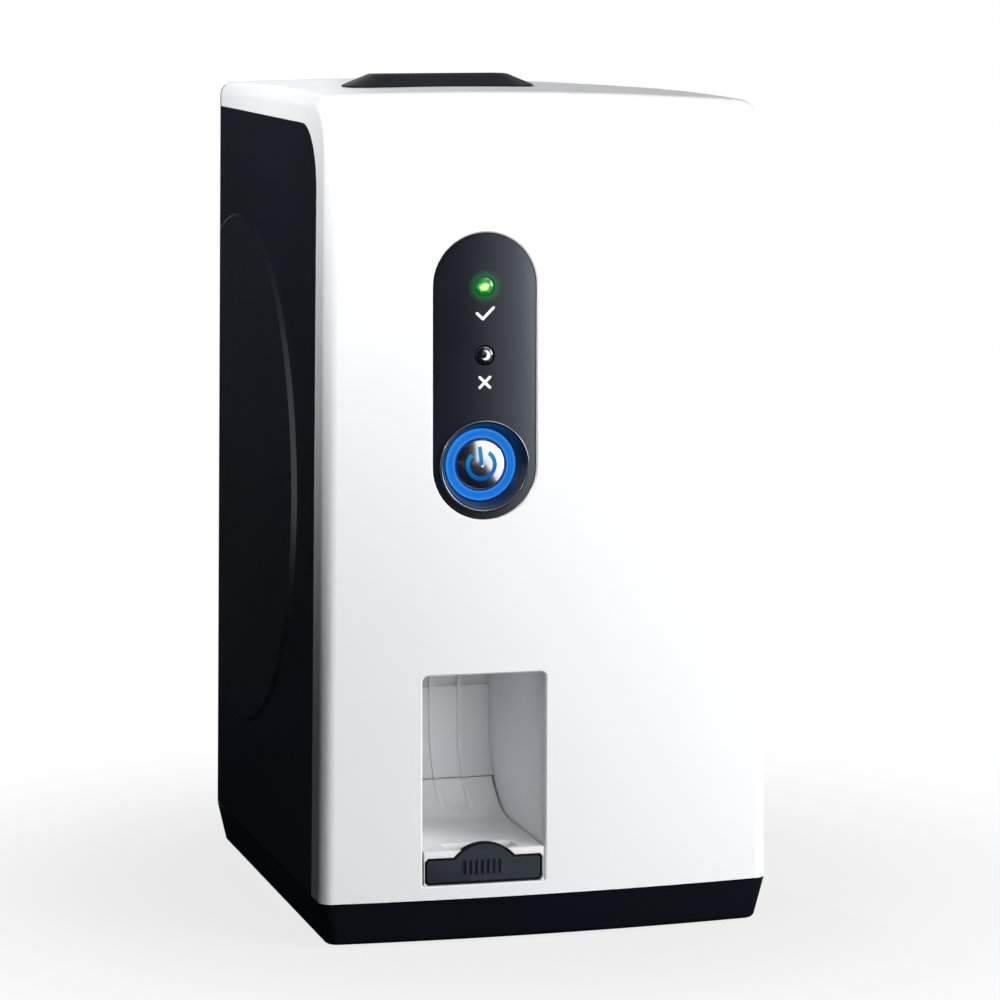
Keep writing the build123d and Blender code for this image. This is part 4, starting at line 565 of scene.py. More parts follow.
class Web(Wiring):
    """A Geometry Nodes tree with named inputs."""

    def __init__(self, name, inputs):
        super().__init__(bpy.data.node_groups.new(name, "GeometryNodeTree"))
        face = self.tree.interface
        face.new_socket("Geometry", in_out="INPUT", socket_type="NodeSocketGeometry")
        for label, kind, value in inputs:
            socket = face.new_socket(label, in_out="INPUT", socket_type=f"NodeSocket{kind}")
            if value is not None:
                socket.default_value = value
        face.new_socket("Geometry", in_out="OUTPUT", socket_type="NodeSocketGeometry")
        self.given = self.tree.nodes.new("NodeGroupInput").outputs

    def close(self, instances):
        """Make the instances real, give them the finish and end the tree."""
        real = self.add("GeometryNodeRealizeInstances", {"Geometry": instances})
        coat = self.add("GeometryNodeSetMaterial", {"Geometry": real, "Material": self.given["Finish"]})
        self.put(self.tree.nodes.new("NodeGroupOutput").inputs["Geometry"], coat)
        return self.tree


def set_input(modifier, label, value):
    """Set a modifier's input by its socket's identifier."""
    for item in modifier.node_group.interface.items_tree:
        if item.item_type == "SOCKET" and item.in_out == "INPUT" and item.name == label:
            modifier[item.identifier] = value
            return
    raise RuntimeError(f"the tree has no input {label}")


def grown(name, tree, values, seed_mesh):
    """An object made by a tree from a seed mesh, worked into a plain mesh."""
    piece = placed(name, seed_mesh)
    modifier = piece.modifiers.new("Build", "NODES")
    modifier.node_group = tree
    for label, value in values.items():
        set_input(modifier, label, value)
    return applied(piece, name)


def points_mesh(name, spots):
    """A mesh of loose points."""
    data = bpy.data.meshes.new(name)
    data.from_pydata([tuple(spot) for spot in spots], [], [])
    return data


def spread_pieces_tree():
    """Set a piece on every point of the mesh, its Z axis along a heading."""
    web = Web(
        "Pieces on points",
        [("Piece", "Object", None), ("Heading", "Vector", (0.0, 0.0, 1.0)), ("Finish", "Material", None)],
    )
    piece = web.add("GeometryNodeObjectInfo", {"Object": web.given["Piece"]}, "Geometry")
    turn = web.add("FunctionNodeAlignRotationToVector", {"Vector": web.given["Heading"]})
    wires = {"Points": web.given["Geometry"], "Instance": piece, "Rotation": turn}
    return web.close(web.add("GeometryNodeInstanceOnPoints", wires))


def islands(node):
    """The corner points of each separate solid of a carried-over node."""
    shape = bmesh.new()
    shape.from_mesh(NODES[node].data)
    bmesh.ops.remove_doubles(shape, verts=shape.verts, dist=MERGE)
    left = set(shape.verts)
    found = []
    while left:
        queue = [left.pop()]
        island = []
        while queue:
            corner = queue.pop()
            island.append(corner.co.copy())
            for edge in corner.link_edges:
                other = edge.other_vert(corner)
                if other in left:
                    left.remove(other)
                    queue.append(other)
        found.append(island)
    shape.free()
    return found


def off_axis(reach, axis):
    """How far a point lies from a line along an axis."""
    return math.sqrt(max(0.0, reach.length_squared - reach[axis] ** 2))


def screw_heading(island, low, high):
    """The way a screw's crown looks: along its longest side, at the wider end."""
    spans = high - low
    middle = (low + high) / 2
    axis = max(range(3), key=lambda index: spans[index])
    ends = [0.0, 0.0]
    for point in island:
        reach = point - middle
        side = 1 if reach[axis] > 0 else 0
        if abs(reach[axis]) > spans[axis] / 2 - 0.02 * MM:
            ends[side] = max(ends[side], off_axis(reach, axis))
    sign = 1 if ends[1] > ends[0] else -1
    return tuple(sign if index == axis else 0 for index in range(3))


def measured_screws(node, heading):
    """For each screw of a node: the middle of its crown, then its heading, radii, head height and length."""
    screws = []
    for island in islands(node):
        low = Vector([min(point[axis] for point in island) for axis in range(3)])
        high = Vector([max(point[axis] for point in island) for axis in range(3)])
        middle = (low + high) / 2
        facing = heading or screw_heading(island, low, high)
        axis = max(range(3), key=lambda index: abs(facing[index]))
        sign = facing[axis]
        top = (high if sign > 0 else low)[axis]
        length = high[axis] - low[axis]
        head = max((high - low)[index] for index in range(3) if index != axis) / 2
        shank, seat = 0.0, 0.0
        for point in island:
            drop = (top - point[axis]) * sign
            away = off_axis(point - middle, axis)
            if drop > length - 0.05 * MM:
                shank = max(shank, away)
            if away > 0.9 * head:
                seat = max(seat, drop)
        spot = middle.copy()
        spot[axis] = top
        sizes = tuple(round(value, 5) for value in (head, shank, seat, length))
        screws.append((tuple(spot), (tuple(float(part) for part in facing), *sizes)))
    return screws


def screw_form(head, shank, head_height, length, finish):
    """A screw with a hex socket and a thread; its crown is at the origin and looks along +Z."""
    shape = bmesh.new()
    turns = [2 * math.pi * step / SCREW_SEGMENTS for step in range(SCREW_SEGMENTS)]
    socket, depth = 0.45 * head, 0.5 * head_height
    rows = [[shape.verts.new((0, 0, -depth))]]

    # The flats of the socket bring the round row in to a hexagon
    for share, level in ((0.96, -depth), (1.0, -0.9 * depth), (1.0, -0.04 * head_height), (1.08, 0.0)):
        row = []
        for turn in turns:
            reach = share * socket * math.cos(math.pi / 6) / math.cos(turn % (math.pi / 3) - math.pi / 6)
            row.append(shape.verts.new((reach * math.cos(turn), reach * math.sin(turn), level)))
        rows.append(row)
    profile = [(0.80 * head, 0.0), (0.92 * head, -0.05 * head_height), (head, -0.20 * head_height)]
    profile += [(head, -head_height), (shank, -head_height)]
    threads = max(2, int((length - head_height) / THREAD_PITCH))
    pitch = (length - head_height) * 0.92 / threads
    core = 0.82 * shank
    for thread in range(threads):
        level = -head_height - pitch * (thread + 0.5)
        profile += [(core, level), (shank, level - 0.5 * pitch)]
    profile.append((0.5 * core, -length))
    for radius, level in profile:
        places = [(radius * math.cos(turn), radius * math.sin(turn), level) for turn in turns]
        rows.append([shape.verts.new(place) for place in places])
    rows.append([shape.verts.new((0, 0, -length))])
    skinned(shape, rows)
    return mesh_object("screw_seed", shape, finish)


def joined(pieces, name):
    """Several objects as one."""
    shape = bmesh.new()
    for piece in pieces:
        shape.from_mesh(piece.data)
    finish = pieces[0].data.materials[0]
    data = bpy.data.meshes.new(name)
    shape.to_mesh(data)
    shape.free()
    data.materials.append(finish)
    for face in data.polygons:
        face.material_index = 0
    for piece in pieces:
        bpy.data.objects.remove(piece)
    return placed(name, data)


def rib_row_tree():
    """A row of equal pieces along X, centred on a given point."""
    inputs = [("Piece", "Object", None), ("Count", "Int", 5), ("Pitch", "Float", 0.002)]
    inputs += [("Middle", "Vector", (0.0, 0.0, 0.0)), ("Finish", "Material", None)]
    web = Web("Row of ribs", inputs)
    given = web.given
    gaps = web.add("ShaderNodeMath", {0: given["Count"], 1: 1.0}, operation="SUBTRACT")
    run = web.add("ShaderNodeMath", {0: gaps, 1: given["Pitch"]}, operation="MULTIPLY")
    back = web.add("ShaderNodeMath", {0: run, 1: -0.5}, operation="MULTIPLY")
    shift = web.add("ShaderNodeCombineXYZ", {"X": back})
    first = web.add("ShaderNodeVectorMath", {0: given["Middle"], 1: shift})
    step = web.add("ShaderNodeCombineXYZ", {"X": given["Pitch"]})
    line = web.add("GeometryNodeMeshLine", {"Count": given["Count"], "Start Location": first, "Offset": step})
    piece = web.add("GeometryNodeObjectInfo", {"Object": given["Piece"]}, "Geometry")
    return web.close(web.add("GeometryNodeInstanceOnPoints", {"Points": line, "Instance": piece}))


def bristle_tree():
    """Bristles on every point of the mesh, each leaning a little its own way."""
    inputs = [("Length", "Float", 0.005), ("Radius", "Float", 0.0001), ("Lean", "Float", 0.05)]
    inputs += [("Seed", "Int", 3), ("Finish", "Material", None)]
    web = Web("Bristles", inputs)
    given = web.given
    tip = web.add("ShaderNodeMath", {0: given["Radius"], 1: 0.55}, operation="MULTIPLY")
    wires = {"Vertices": 5, "Radius Top": tip, "Radius Bottom": given["Radius"], "Depth": given["Length"]}
    hair = web.add("GeometryNodeMeshCone", wires)
    other = web.add("ShaderNodeMath", {0: given["Lean"], 1: -1.0}, operation="MULTIPLY")
    least = web.add("ShaderNodeCombineXYZ", {"X": other, "Y": other})
    most = web.add("ShaderNodeCombineXYZ", {"X": given["Lean"], "Y": given["Lean"]})
    wires = {"Min": least, "Max": most, "Seed": given["Seed"]}
    lean = web.add("FunctionNodeRandomValue", wires, data_type="FLOAT_VECTOR")
    wires = {"Points": given["Geometry"], "Instance": hair, "Rotation": lean}
    return web.close(web.add("GeometryNodeInstanceOnPoints", wires))


def band(shape, outline, front, back):
    """A flat form from a closed outline of (x, z) points, between a front and a back surface."""
    near = [shape.verts.new((x, front(x, z), z)) for x, z in outline]
    far = [shape.verts.new((x, back(x, z), z)) for x, z in outline]
    shape.faces.new(near)
    shape.faces.new(far[::-1])
    skinned(shape, [near, far])


def strip(shape, left, right, front, back):
    """A bent strip: two rows of (x, z) points with equal counts, closed all round."""
    rows = []
    for row, surface in ((left, front), (right, front), (right, back), (left, back)):
        rows.append([shape.verts.new((x, surface(x, z), z)) for x, z in row])
    count = len(left)
    for side in range(4):
        first, second = rows[side], rows[(side + 1) % 4]
        for step in range(count - 1):
            shape.faces.new((first[step], first[step + 1], second[step + 1], second[step]))
    for end in (0, count - 1):
        shape.faces.new([rows[side][end] for side in range(4)])


def stroke_points(start, end, width):
    """The outline of a stroke with round ends, as (x, z) points."""
    along = (Vector(end) - Vector(start)).normalized()
    across = Vector((-along.y, along.x))
    outline = []
    for middle, first in ((Vector(end), 90), (Vector(start), 270)):
        for step in range(ROUND_STEPS + 1):
            angle = math.radians(first - 180 * step / ROUND_STEPS)
            point = middle + (along * math.cos(angle) + across * math.sin(angle)) * width / 2
            outline.append((point.x, point.y))
    return outline


# ---------------------------------------------------------------- operators


class SCANNER_OT_housing(Operator):
    """Finish the shell, the side panels, the rear cover and the base"""

    bl_idname = "scanner.housing"
    bl_label = "Housing"

    def execute(self, context):
        colours = context.scene.scanner_colours
        white = moulded("Housing white", colours.shell, 0.30, depth=0.0012 * MM, tone=0.006)
        black = moulded("Panel black", colours.panel, 0.30, depth=0.0015 * MM, tone=0.05)
        skirt = moulded("Skirt black", colours.skirt, 0.34, gloss=0.2, depth=0.0015 * MM, tone=0.05)
        dress(white, "front_shell")
        dress(black, "left_side_panel", "right_side_panel", "rear_cover")
        dress(skirt, "base_pan")
        dress(soft_rubber("Foot rubber", SOFT_BLACK), "rubber_feet")
        return {"FINISHED"}


class SCANNER_OT_control_panel(Operator):
    """Finish the control panel and print the tick and the cross under the lamps"""

    bl_idname = "scanner.control_panel"
    bl_label = "Control panel"

    def execute(self, context):
        sizes = context.scene.scanner_sizes
        finish = Finish("Control panel black")
        slow = finish.noise(30 * MM, 3.0)
        finish.colour(finish.mix(finish.spread(slow, 0, 1), (0.0055, 0.0070, 0.0100), (0.0075, 0.0090, 0.0130)))
        finish.patchy(20 * MM, 0.31, 0.33)

        # The gloss curves away towards the long edges
        aside = finish.square(finish.past("X", MIDDLE_X))
        crown = finish.relief(finish.math("MULTIPLY", aside, -sizes.panel_crown / CROWN_REACH**2), 1.0)
        finish.relief(finish.noise(0.6 * MM), 0.0015 * MM, crown)

        # and fades out along the rim
        above = finish.past("Z", PILL_TOP_Z)
        below = finish.math("SUBTRACT", PILL_BOTTOM_Z, finish.axis("Z"))
        beyond = finish.math("MAXIMUM", finish.math("MAXIMUM", above, below), 0.0)
        aside = finish.square(finish.past("X", PILL_X))
        out = finish.math("SQRT", finish.math("ADD", aside, finish.square(beyond)))
        finish.gloss(finish.spread(out, 0.62, 0.02, PILL_RADIUS - 2.4 * MM, PILL_RADIUS - 1.4 * MM))
        finish.give("Specular Tint", (0.80, 0.90, 1.0, 1.0))

        # Painted light: the green halo of the lit lamp is painted on the panel as a glow of its own
        painted_glow = finish.spread(finish.reach(x=MIDDLE_X, z=READY_Z), 1.0, 0.0, 3.3 * MM, 6.4 * MM)
        finish.shine(finish.mix(painted_glow, (0, 0, 0), (0.0, 0.16, 0.012)), 0.55)
        dress(finish, "control_panel")

        ink = moulded("Print white", context.scene.scanner_colours.mark, 0.5, depth=0.004 * MM, tone=0.02)
        height, stroke = sizes.mark_height, sizes.mark_stroke

        def front(x, z):
            return READY_LOW.y - PRINT_LIFT + (x - MIDDLE_X) * PRINT_SLOPE

        def back(x, z):
            return front(x, z) + PRINT_DEPTH

        marks = bmesh.new()
        z = READY_Z - sizes.mark_drop
        corners = ((-0.70, 0.02), (-0.18, -0.46), (0.76, 0.50))
        tick = [(MIDDLE_X + across * height, z + up * height) for across, up in corners]
        band(marks, stroke_points(tick[0], tick[1], stroke), front, back)
        band(marks, stroke_points(tick[1], tick[2], stroke), lambda x, z: front(x, z) - 2 * PRINT_STEP, back)
        z = ERROR_Z - sizes.mark_drop
        arm = 0.45 * height
        for lean in (-1, 1):
            outline = stroke_points((MIDDLE_X - lean * arm, z - arm), (MIDDLE_X + lean * arm, z + arm), stroke)
            band(marks, outline, lambda x, z, lean=lean: front(x, z) - (lean + 1) * PRINT_STEP, back)
        piece = mesh_object("panel_marks", marks, ink, smooth=False)
        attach(piece, "housing")
        return {"FINISHED"}


class SCANNER_OT_lamps(Operator):
    """Make the two lamp lenses, the ready lamp lit and the error lamp dark"""

    bl_idname = "scanner.lamps"
    bl_label = "Lamps"

    def execute(self, context):
        green = context.scene.scanner_colours.glow_green
        lit = Finish("Ready lamp")
        aside = lit.square(lit.past("X", MIDDLE_X))
        above = lit.square(lit.math("MULTIPLY", lit.past("Z", READY_Z), 1.4))
        share = lit.math("DIVIDE", lit.math("SQRT", lit.math("ADD", aside, above)), LENS_RADIUS)
        flaw = lit.noise(2.2 * MM)
        shaky = lit.math("ADD", share, lit.spread(flaw, -0.14, 0.14))
        stops = [(0.0, (1.0, 1.0, 0.80)), (0.30, (0.95, 1.0, 0.42)), (0.46, (0.30, 0.90, 0.10))]
        stops += [(0.66, scaled(green, 0.55)), (1.0, (0.0, 0.09, 0.012))]
        lit.shine(lit.ramp(shaky, stops), 1.0)
        lit.colour(lit.mix(flaw, (0.004, 0.05, 0.012), (0.006, 0.07, 0.016)))
        lit.rough(lit.spread(flaw, 0.06, 0.12))

        # Painted highlight: a pale crescent in the dark lamp's colour stands for the glint of the reflector cup
        # behind its lens
        dark = Finish("Error lamp")
        disc = dark.spread(dark.reach(x=MIDDLE_X + 0.35 * MM, z=ERROR_Z), 1.0, 0.0, 1.5 * MM, 1.9 * MM)
        bite = dark.reach(x=MIDDLE_X - 0.55 * MM, z=ERROR_Z + 0.25 * MM)
        painted_glint = dark.math("MULTIPLY", disc, dark.spread(bite, 0.0, 1.0, 1.1 * MM, 1.6 * MM))
        dark.colour(dark.mix(painted_glint, (0.005, 0.006, 0.009), (0.86, 0.88, 0.90)))
        dark.patchy(2.0 * MM, 0.05, 0.09)
        dark.gloss(0.6)

        for name, low, high, finish in (
            ("ready_lamp", READY_LOW, READY_HIGH, lit),
            ("error_lamp", ERROR_LOW, ERROR_HIGH, dark),
        ):
            centre = ((low.x + high.x) / 2, 0, (low.z + high.z) / 2)
            apex = low.y
            flat, curve, drop = 2.1 * MM, 1.4 * MM, 1.2 * MM
            profile = [(0.0, apex)]
            profile += [(0.75 * MM * step, apex + 0.02 * MM * step * step) for step in (1, 2)]
            for step in range(3, 9):
                angle = math.radians(90 * step / 8)
                profile.append((flat + curve * math.sin(angle), apex + drop * (1 - math.cos(angle))))
            collar = apex + LENS_REACH
            profile += [(LENS_RADIUS, collar), (COLLAR_RADIUS, collar + 0.02 * MM)]
            profile += [(COLLAR_RADIUS, collar + COLLAR_DEPTH), (LENS_RADIUS, collar + COLLAR_DEPTH)]
            profile += [(LENS_RADIUS, high.y - 0.2 * MM), (LENS_RADIUS - 0.2 * MM, high.y), (0.0, high.y)]
            piece = sharpen(mesh_object(name, turned(profile, 48, centre), finish))
            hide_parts("ready_lens" if name == "ready_lamp" else "error_lens")
            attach(piece, "housing")
        return {"FINISHED"}


class SCANNER_OT_power_button(Operator):
    """Make the bezel, the lit ring, the metal cap and its power sign"""

    bl_idname = "scanner.power_button"
    bl_label = "Power button"

    def execute(self, context):
        sizes = context.scene.scanner_sizes
        blue = context.scene.scanner_colours.glow_blue
        centre = (MIDDLE_X, 0, BUTTON_Z)

        ring = Finish("Lit ring blue")
        out = ring.math("SUBTRACT", ring.reach(x=MIDDLE_X, z=BUTTON_Z), RING_RADIUS)
        stops = [(0.0, (0.0, 0.008, 0.05)), (0.13, (0.0, 0.02, 0.14)), (0.24, (0.02, 0.30, 0.80)), (0.36, blue)]
        stops += [(0.74, scaled(blue, 1.05)), (0.88, (0.0, 0.32, 0.92)), (1.0, (0.0, 0.07, 0.34))]
        ring.shine(ring.ramp(ring.math("DIVIDE", out, RING_WIDTH), stops), 0.95)
        ring.blotches(3 * MM, (0.0, 0.01, 0.07), (0.0, 0.02, 0.10))
        ring.patchy(4 * MM, 0.22, 0.3)
        dress(ring, "button_ring")
        dress(turned_metal("Cap metal", (0.90, 0.91, 0.92), 0.13, centre, depth=0.0015 * MM), "button_cap")

        rim = turned_metal("Bezel metal", (0.10, 0.12, 0.15), 0.22, centre, depth=0.002 * MM)
        outer = BEZEL_HIGH.x - MIDDLE_X
        inner = outer - BEZEL_WIDTH
        shoulder = BEZEL_LOW.y + BEZEL_ROUND
        profile = [(inner, BEZEL_HIGH.y), (inner, shoulder)]
        for step in range(1, 8):
            angle = math.radians(180 - 180 * step / 8)
            radius = (inner + outer) / 2 + BEZEL_WIDTH / 2 * math.cos(angle)
            profile.append((radius, shoulder - BEZEL_ROUND * math.sin(angle)))
        profile += [(outer, shoulder), (outer, BEZEL_HIGH.y)]
        piece = sharpen(mesh_object("bezel_ring", turned(profile, 96, centre, loop=True), rim), 50)
        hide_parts("button_bezel")
        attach(piece, "housing")

        sign = Finish("Power sign blue")
        tone = sign.spread(sign.axis("Z"), 0.0, 1.0, BUTTON_Z - 5 * MM, BUTTON_Z + 6 * MM)
        sign.shine(sign.mix(tone, (0.0, 0.09, 0.38), (0.01, 0.27, 0.58)), 0.9)
        sign.blotches(2 * MM, (0.0, 0.02, 0.09), (0.0, 0.03, 0.12))
        sign.patchy(3 * MM, 0.3, 0.4)
        sign.gloss(0.1)

        def crown(x, z):
            reach = (x - MIDDLE_X) ** 2 + (z - BUTTON_Z) ** 2
            return CAP_LOW.y + CAP_DOME - math.sqrt(CAP_DOME**2 - reach)

        def front(x, z):
            return crown(x, z) - 0.10 * MM

        def back(x, z):
            return crown(x, z) + 0.25 * MM

        # The open ring of the sign
        outer = sizes.sign_radius
        inner = outer - sizes.sign_stroke
        shape = bmesh.new()
        rows = ([], [])
        for step in range(ARC_STEPS + 1):
            angle = math.radians(90 + SIGN_TILT + SIGN_GAP + (360 - 2 * SIGN_GAP) * step / ARC_STEPS)
            for row, radius in zip(rows, (outer, inner)):
                row.append((MIDDLE_X + radius * math.cos(angle), BUTTON_Z + radius * math.sin(angle)))
        strip(shape, *rows, front, back)

        # and its bar, a little narrower at both ends
        lean = math.radians(90 + SIGN_TILT)
        rows = ([], [])
        for step in range(9):
            reach = -0.2 * MM + ((outer + inner) / 2 + 1.7 * MM) * step / 8
            width = sizes.sign_stroke / 2 * (0.85 if step in (0, 8) else 1.0)
            for row, side in zip(rows, (-width, width)):
                x = MIDDLE_X + reach * math.cos(lean) + side * math.sin(lean)
                row.append((x, BUTTON_Z + reach * math.sin(lean) - side * math.cos(lean)))
        strip(shape, *rows, front, back)
        piece = sharpen(mesh_object("power_sign", shape, sign), 50)
        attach(piece, "button")
        return {"FINISHED"}


class SCANNER_OT_bin(Operator):
    """Finish the liner of the collecting bin and the pull-out tray"""

    bl_idname = "scanner.bin"
    bl_label = "Collecting bin"

    def execute(self, context):
        colours = context.scene.scanner_colours
        liner = moulded("Liner grey", colours.liner, 0.46, depth=0.0012 * MM, tone=0.015)
        tray = moulded("Tray white", colours.tray, 0.40, depth=0.0012 * MM, tone=0.01)
        for finish in (liner, tray):
            finish.give("Subsurface Weight", 0.5)
            finish.give("Subsurface Radius", (1.0, 1.0, 1.0))
            finish.give("Subsurface Scale", 2.5 * MM)
        dress(liner, "bin_liner")
        dress(tray, "plate_tray")
        return {"FINISHED"}


class SCANNER_OT_handle(Operator):
    """Make the tray handle with rounded edges and a row of grip ribs"""

    bl_idname = "scanner.handle"
    bl_label = "Tray handle"

    def execute(self, context):
        sizes = context.scene.scanner_sizes
        colour = context.scene.scanner_colours.handle
        grey = moulded("Handle grey", colour, 0.55, gloss=0.2, grain=0.45 * MM, depth=0.006 * MM, tone=0.10)
        # Painted shade: a near-black copy of the handle grey, on the rim and sides round the pad, stands for
        # the shade in the gap round the handle
        edge = moulded("Handle edge", scaled(colour, 0.10), 0.5, gloss=0.15, tone=0.10)
        piece = merged_copy("tray_handle", "handle_bar", edge)
        piece.data.materials.append(grey.material)
        shape = bmesh.new()
        shape.from_mesh(piece.data)

        # Set the bowed front back by the pad and its ribs, then raise the pad out of it
        front = [face for face in shape.faces if face.normal.y < -0.98]
        front = [face for face in front if face.calc_center_median().y < HANDLE_LOW.y + HANDLE_BOW]
        for corner in {corner for face in front for corner in face.verts}:
            corner.co.y += sizes.rib_depth + sizes.pad_height
        bmesh.ops.inset_region(shape, faces=front, thickness=sizes.pad_inset, use_even_offset=True)
        # Faces raised with the pad take the grey; the rest of the handle keeps the painted shade
        for item in bmesh.ops.extrude_face_region(shape, geom=front)["geom"]:
            if isinstance(item, bmesh.types.BMVert):
                item.co.y -= sizes.pad_height
            elif isinstance(item, bmesh.types.BMFace):
                item.material_index = 1
        bmesh.ops.delete(shape, geom=front, context="FACES")
        bmesh.ops.recalc_face_normals(shape, faces=shape.faces)
        shape.to_mesh(piece.data)
        shape.free()
        bevel = piece.modifiers.new("Rounded edges", "BEVEL")
        bevel.width = sizes.handle_edge
        bevel.segments = 2
        bevel.limit_method = "ANGLE"
        bevel.angle_limit = math.radians(40)
        applied(piece, "handle_bar")
        sharpen(piece, 45)
        for face in piece.data.polygons:
            if abs(face.normal.y) > 0.999:
                face.use_smooth = False
        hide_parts("tray_handle")
        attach(piece, "tray")

        rib = bmesh.new()
        width, depth, height = RIB_WIDTH, sizes.rib_depth, sizes.grip_height
        outline = stroke_points((0.0, -height / 2 + width / 2), (0.0, height / 2 - width / 2), width)
        root = [rib.verts.new((x, RIB_ROOT, z)) for x, z in outline]
        side = [rib.verts.new((x, -depth * RIB_WAIST, z)) for x, z in outline]
        top = [rib.verts.new((x * RIB_NARROWER, -depth, z * RIB_SHORTER)) for x, z in outline]
        skinned(rib, [root, side, top])
        rib.faces.new(root)
        rib.faces.new(top[::-1])
        seed = mesh_object("grip_rib_seed", rib, grey)
        middle_x = (HANDLE_LOW.x + HANDLE_HIGH.x) / 2
        middle = Vector((middle_x, HANDLE_LOW.y + depth + 0.01 * MM, HANDLE_LOW.z + RIB_RISE))
        values = {"Piece": seed, "Count": sizes.grip_count, "Pitch": sizes.grip_pitch}
        values.update({"Middle": middle, "Finish": grey.material})
        row = grown("grip_ribs", rib_row_tree(), values, points_mesh("grip_start", [(0, 0, 0)]))
        bpy.data.objects.remove(seed)
        sharpen(row, 40)
        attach(row, "tray")
        return {"FINISHED"}


class SCANNER_OT_feed_cap(Operator):
    """Finish the feed cap and fill its slot with brush bristles"""

    bl_idname = "scanner.feed_cap"
    bl_label = "Feed cap"

    def execute(self, context):
        sizes = context.scene.scanner_sizes
        colour = scaled(context.scene.scanner_colours.panel, 0.8)
        dress(moulded("Feed cap black", colour, 0.40, gloss=0.05, depth=0.008 * MM), "feed_cap")
        dress(moulded("Inner black", NEAR_BLACK, 0.5), "feed_guide")
        hair = pressed_felt("Bristle black", SOFT_BLACK)
        spots = []
        count = sizes.bristle_count
        width = BRUSH_HIGH.x - BRUSH_LOW.x - 2 * BRISTLE_MARGIN
        middle_y = (BRUSH_LOW.y + BRUSH_HIGH.y) / 2
        for row, offset in enumerate(BRISTLE_ROWS):
            for step in range(count):
                x = BRUSH_LOW.x + BRISTLE_MARGIN + width * (step + 0.5 * (row % 2)) / count
                spots.append((x, middle_y + offset * MM, BRUSH_LOW.z + BRISTLE_MARGIN))
        values = {"Length": BRUSH_HIGH.z - BRUSH_LOW.z - 0.5 * MM, "Radius": sizes.bristle_radius}
        values.update({"Lean": 0.06, "Seed": 3, "Finish": hair.material})
        piece = grown("slot_bristles", bristle_tree(), values, points_mesh("bristle_roots", spots))
        sharpen(piece, 80)
        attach(piece, "housing")
        dress(hair, "slot_brushes")
        return {"FINISHED"}


class SCANNER_OT_screws(Operator):
    """Make the screws of the base, the rear cover, the frame and the boards"""

    bl_idname = "scanner.screws"
    bl_label = "Screws"

    def execute(self, context):
        steel = drawn_metal("Screw steel", (0.30, 0.305, 0.31), 0.26, grain=0.15 * MM, depth=0.002 * MM)
        tree = spread_pieces_tree()
        for node, heading in (
            ("base_screws", (0, 0, -1)),
            ("cover_screws", (0, 1, 0)),
            ("frame_screws", (0, 0, 1)),
            ("board_screws", None),
        ):
            groups = {}
            for spot, kind in measured_screws(node, heading):
                groups.setdefault(kind, []).append(spot)
            pieces = []
            for (facing, *form), spots in groups.items():
                seed = screw_form(*form, steel)
                values = {"Piece": seed, "Heading": facing, "Finish": steel.material}
                pieces.append(grown(f"{node}_part", tree, values, points_mesh(f"{node}_spots", spots)))
                bpy.data.objects.remove(seed)
            piece = joined(pieces, f"{node}_turned")
            sharpen(piece, 40)
            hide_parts(node)
            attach(piece, "housing")
        return {"FINISHED"}


class SCANNER_OT_transport(Operator):
    """Finish the frame, the rollers, the gears and the motor"""

    bl_idname = "scanner.transport"
    bl_label = "Plate transport"

    def execute(self, context):
        sheet = drawn_metal("Sheet steel", (0.56, 0.57, 0.58), 0.34, stretch=(1, 1, 0.04))
        spring = drawn_metal("Spring steel", (0.42, 0.43, 0.45), 0.26, stretch=(1, 1, 0.05))
        brass = drawn_metal("Brass", (0.72, 0.52, 0.24), 0.28)
        acetal = moulded("Acetal white", (0.78, 0.77, 0.73), 0.42, tone=0.02)
        dress(sheet, "frame_plate_left", "frame_plate_right")
        dress(drawn_metal("Ground steel", PALE_STEEL, 0.22), "cross_bars")
        dress(spring, "roller_springs")
        dress(brass, "roller_bushes", "gear_posts", "motor_pinion")
        dress(acetal, "roller_gear_1", "roller_gear_2", "roller_gear_3", "transfer_gear_1", "transfer_gear_2")
        dress(moulded("Guide black", NEAR_BLACK, 0.42), "path_guide_front", "path_guide_rear")
        dress(drawn_metal("Motor casing", (0.34, 0.35, 0.36), 0.4), "stepper_motor")

        # Rubber over the middle of each roller, ground steel at its ends
        cover = soft_rubber("Roller rubber", (0.035, 0.035, 0.038))
        away = cover.math("ABSOLUTE", cover.past("X", MIDDLE_X))
        bare = cover.spread(away, 0.0, 1.0, COVER_HALF, COVER_HALF + 0.15 * MM)
        cover.colour(cover.mix(bare, cover.given("Base Color"), PALE_STEEL))
        cover.give("Metallic", bare)
        keep = cover.math("MULTIPLY", cover.math("SUBTRACT", 1.0, bare), cover.given("Roughness"))
        cover.rough(cover.math("ADD", keep, cover.math("MULTIPLY", bare, 0.24)))
        for number in (1, 2, 3):
            dress(cover, f"drive_roller_{number}", f"idler_roller_{number}")
        return {"FINISHED"}


class SCANNER_OT_optics(Operator):
    """Finish the optics bench with its laser, mirror, lens, light guide and tube"""

    bl_idname = "scanner.optics"
    bl_label = "Optics"

    def execute(self, context):
        cast = moulded("Cast aluminium", (0.52, 0.53, 0.54), 0.46, grain=0.5 * MM, depth=0.03 * MM)
        cast.give("Metallic", 1.0)
        dress(cast, "optics_bench")
        dress(drawn_metal("Turned aluminium", (0.70, 0.71, 0.72), 0.26), "laser_holder")
        dress(drawn_metal("Laser brass", (0.70, 0.50, 0.22), 0.25), "laser_module")
        dress(printed_board("Small board green", (0.015, 0.10, 0.045)), "polygon_motor")
        dress(drawn_metal("Mirror face", (0.90, 0.91, 0.92), 0.08, depth=0.0006 * MM), "polygon_mirror")
        dress(clear_glass("Lens glass", (0.93, 0.97, 0.96)), "scan_lens")
        dress(clear_glass("Light guide acrylic", (0.92, 0.96, 0.99), bend=1.49), "light_guide")
        dress(clear_glass("Tube glass", (0.62, 0.50, 0.34), roughness=0.08), "photomultiplier")
        dress(drawn_metal("Shield metal", (0.42, 0.40, 0.38), 0.36), "tube_shield")
        return {"FINISHED"}


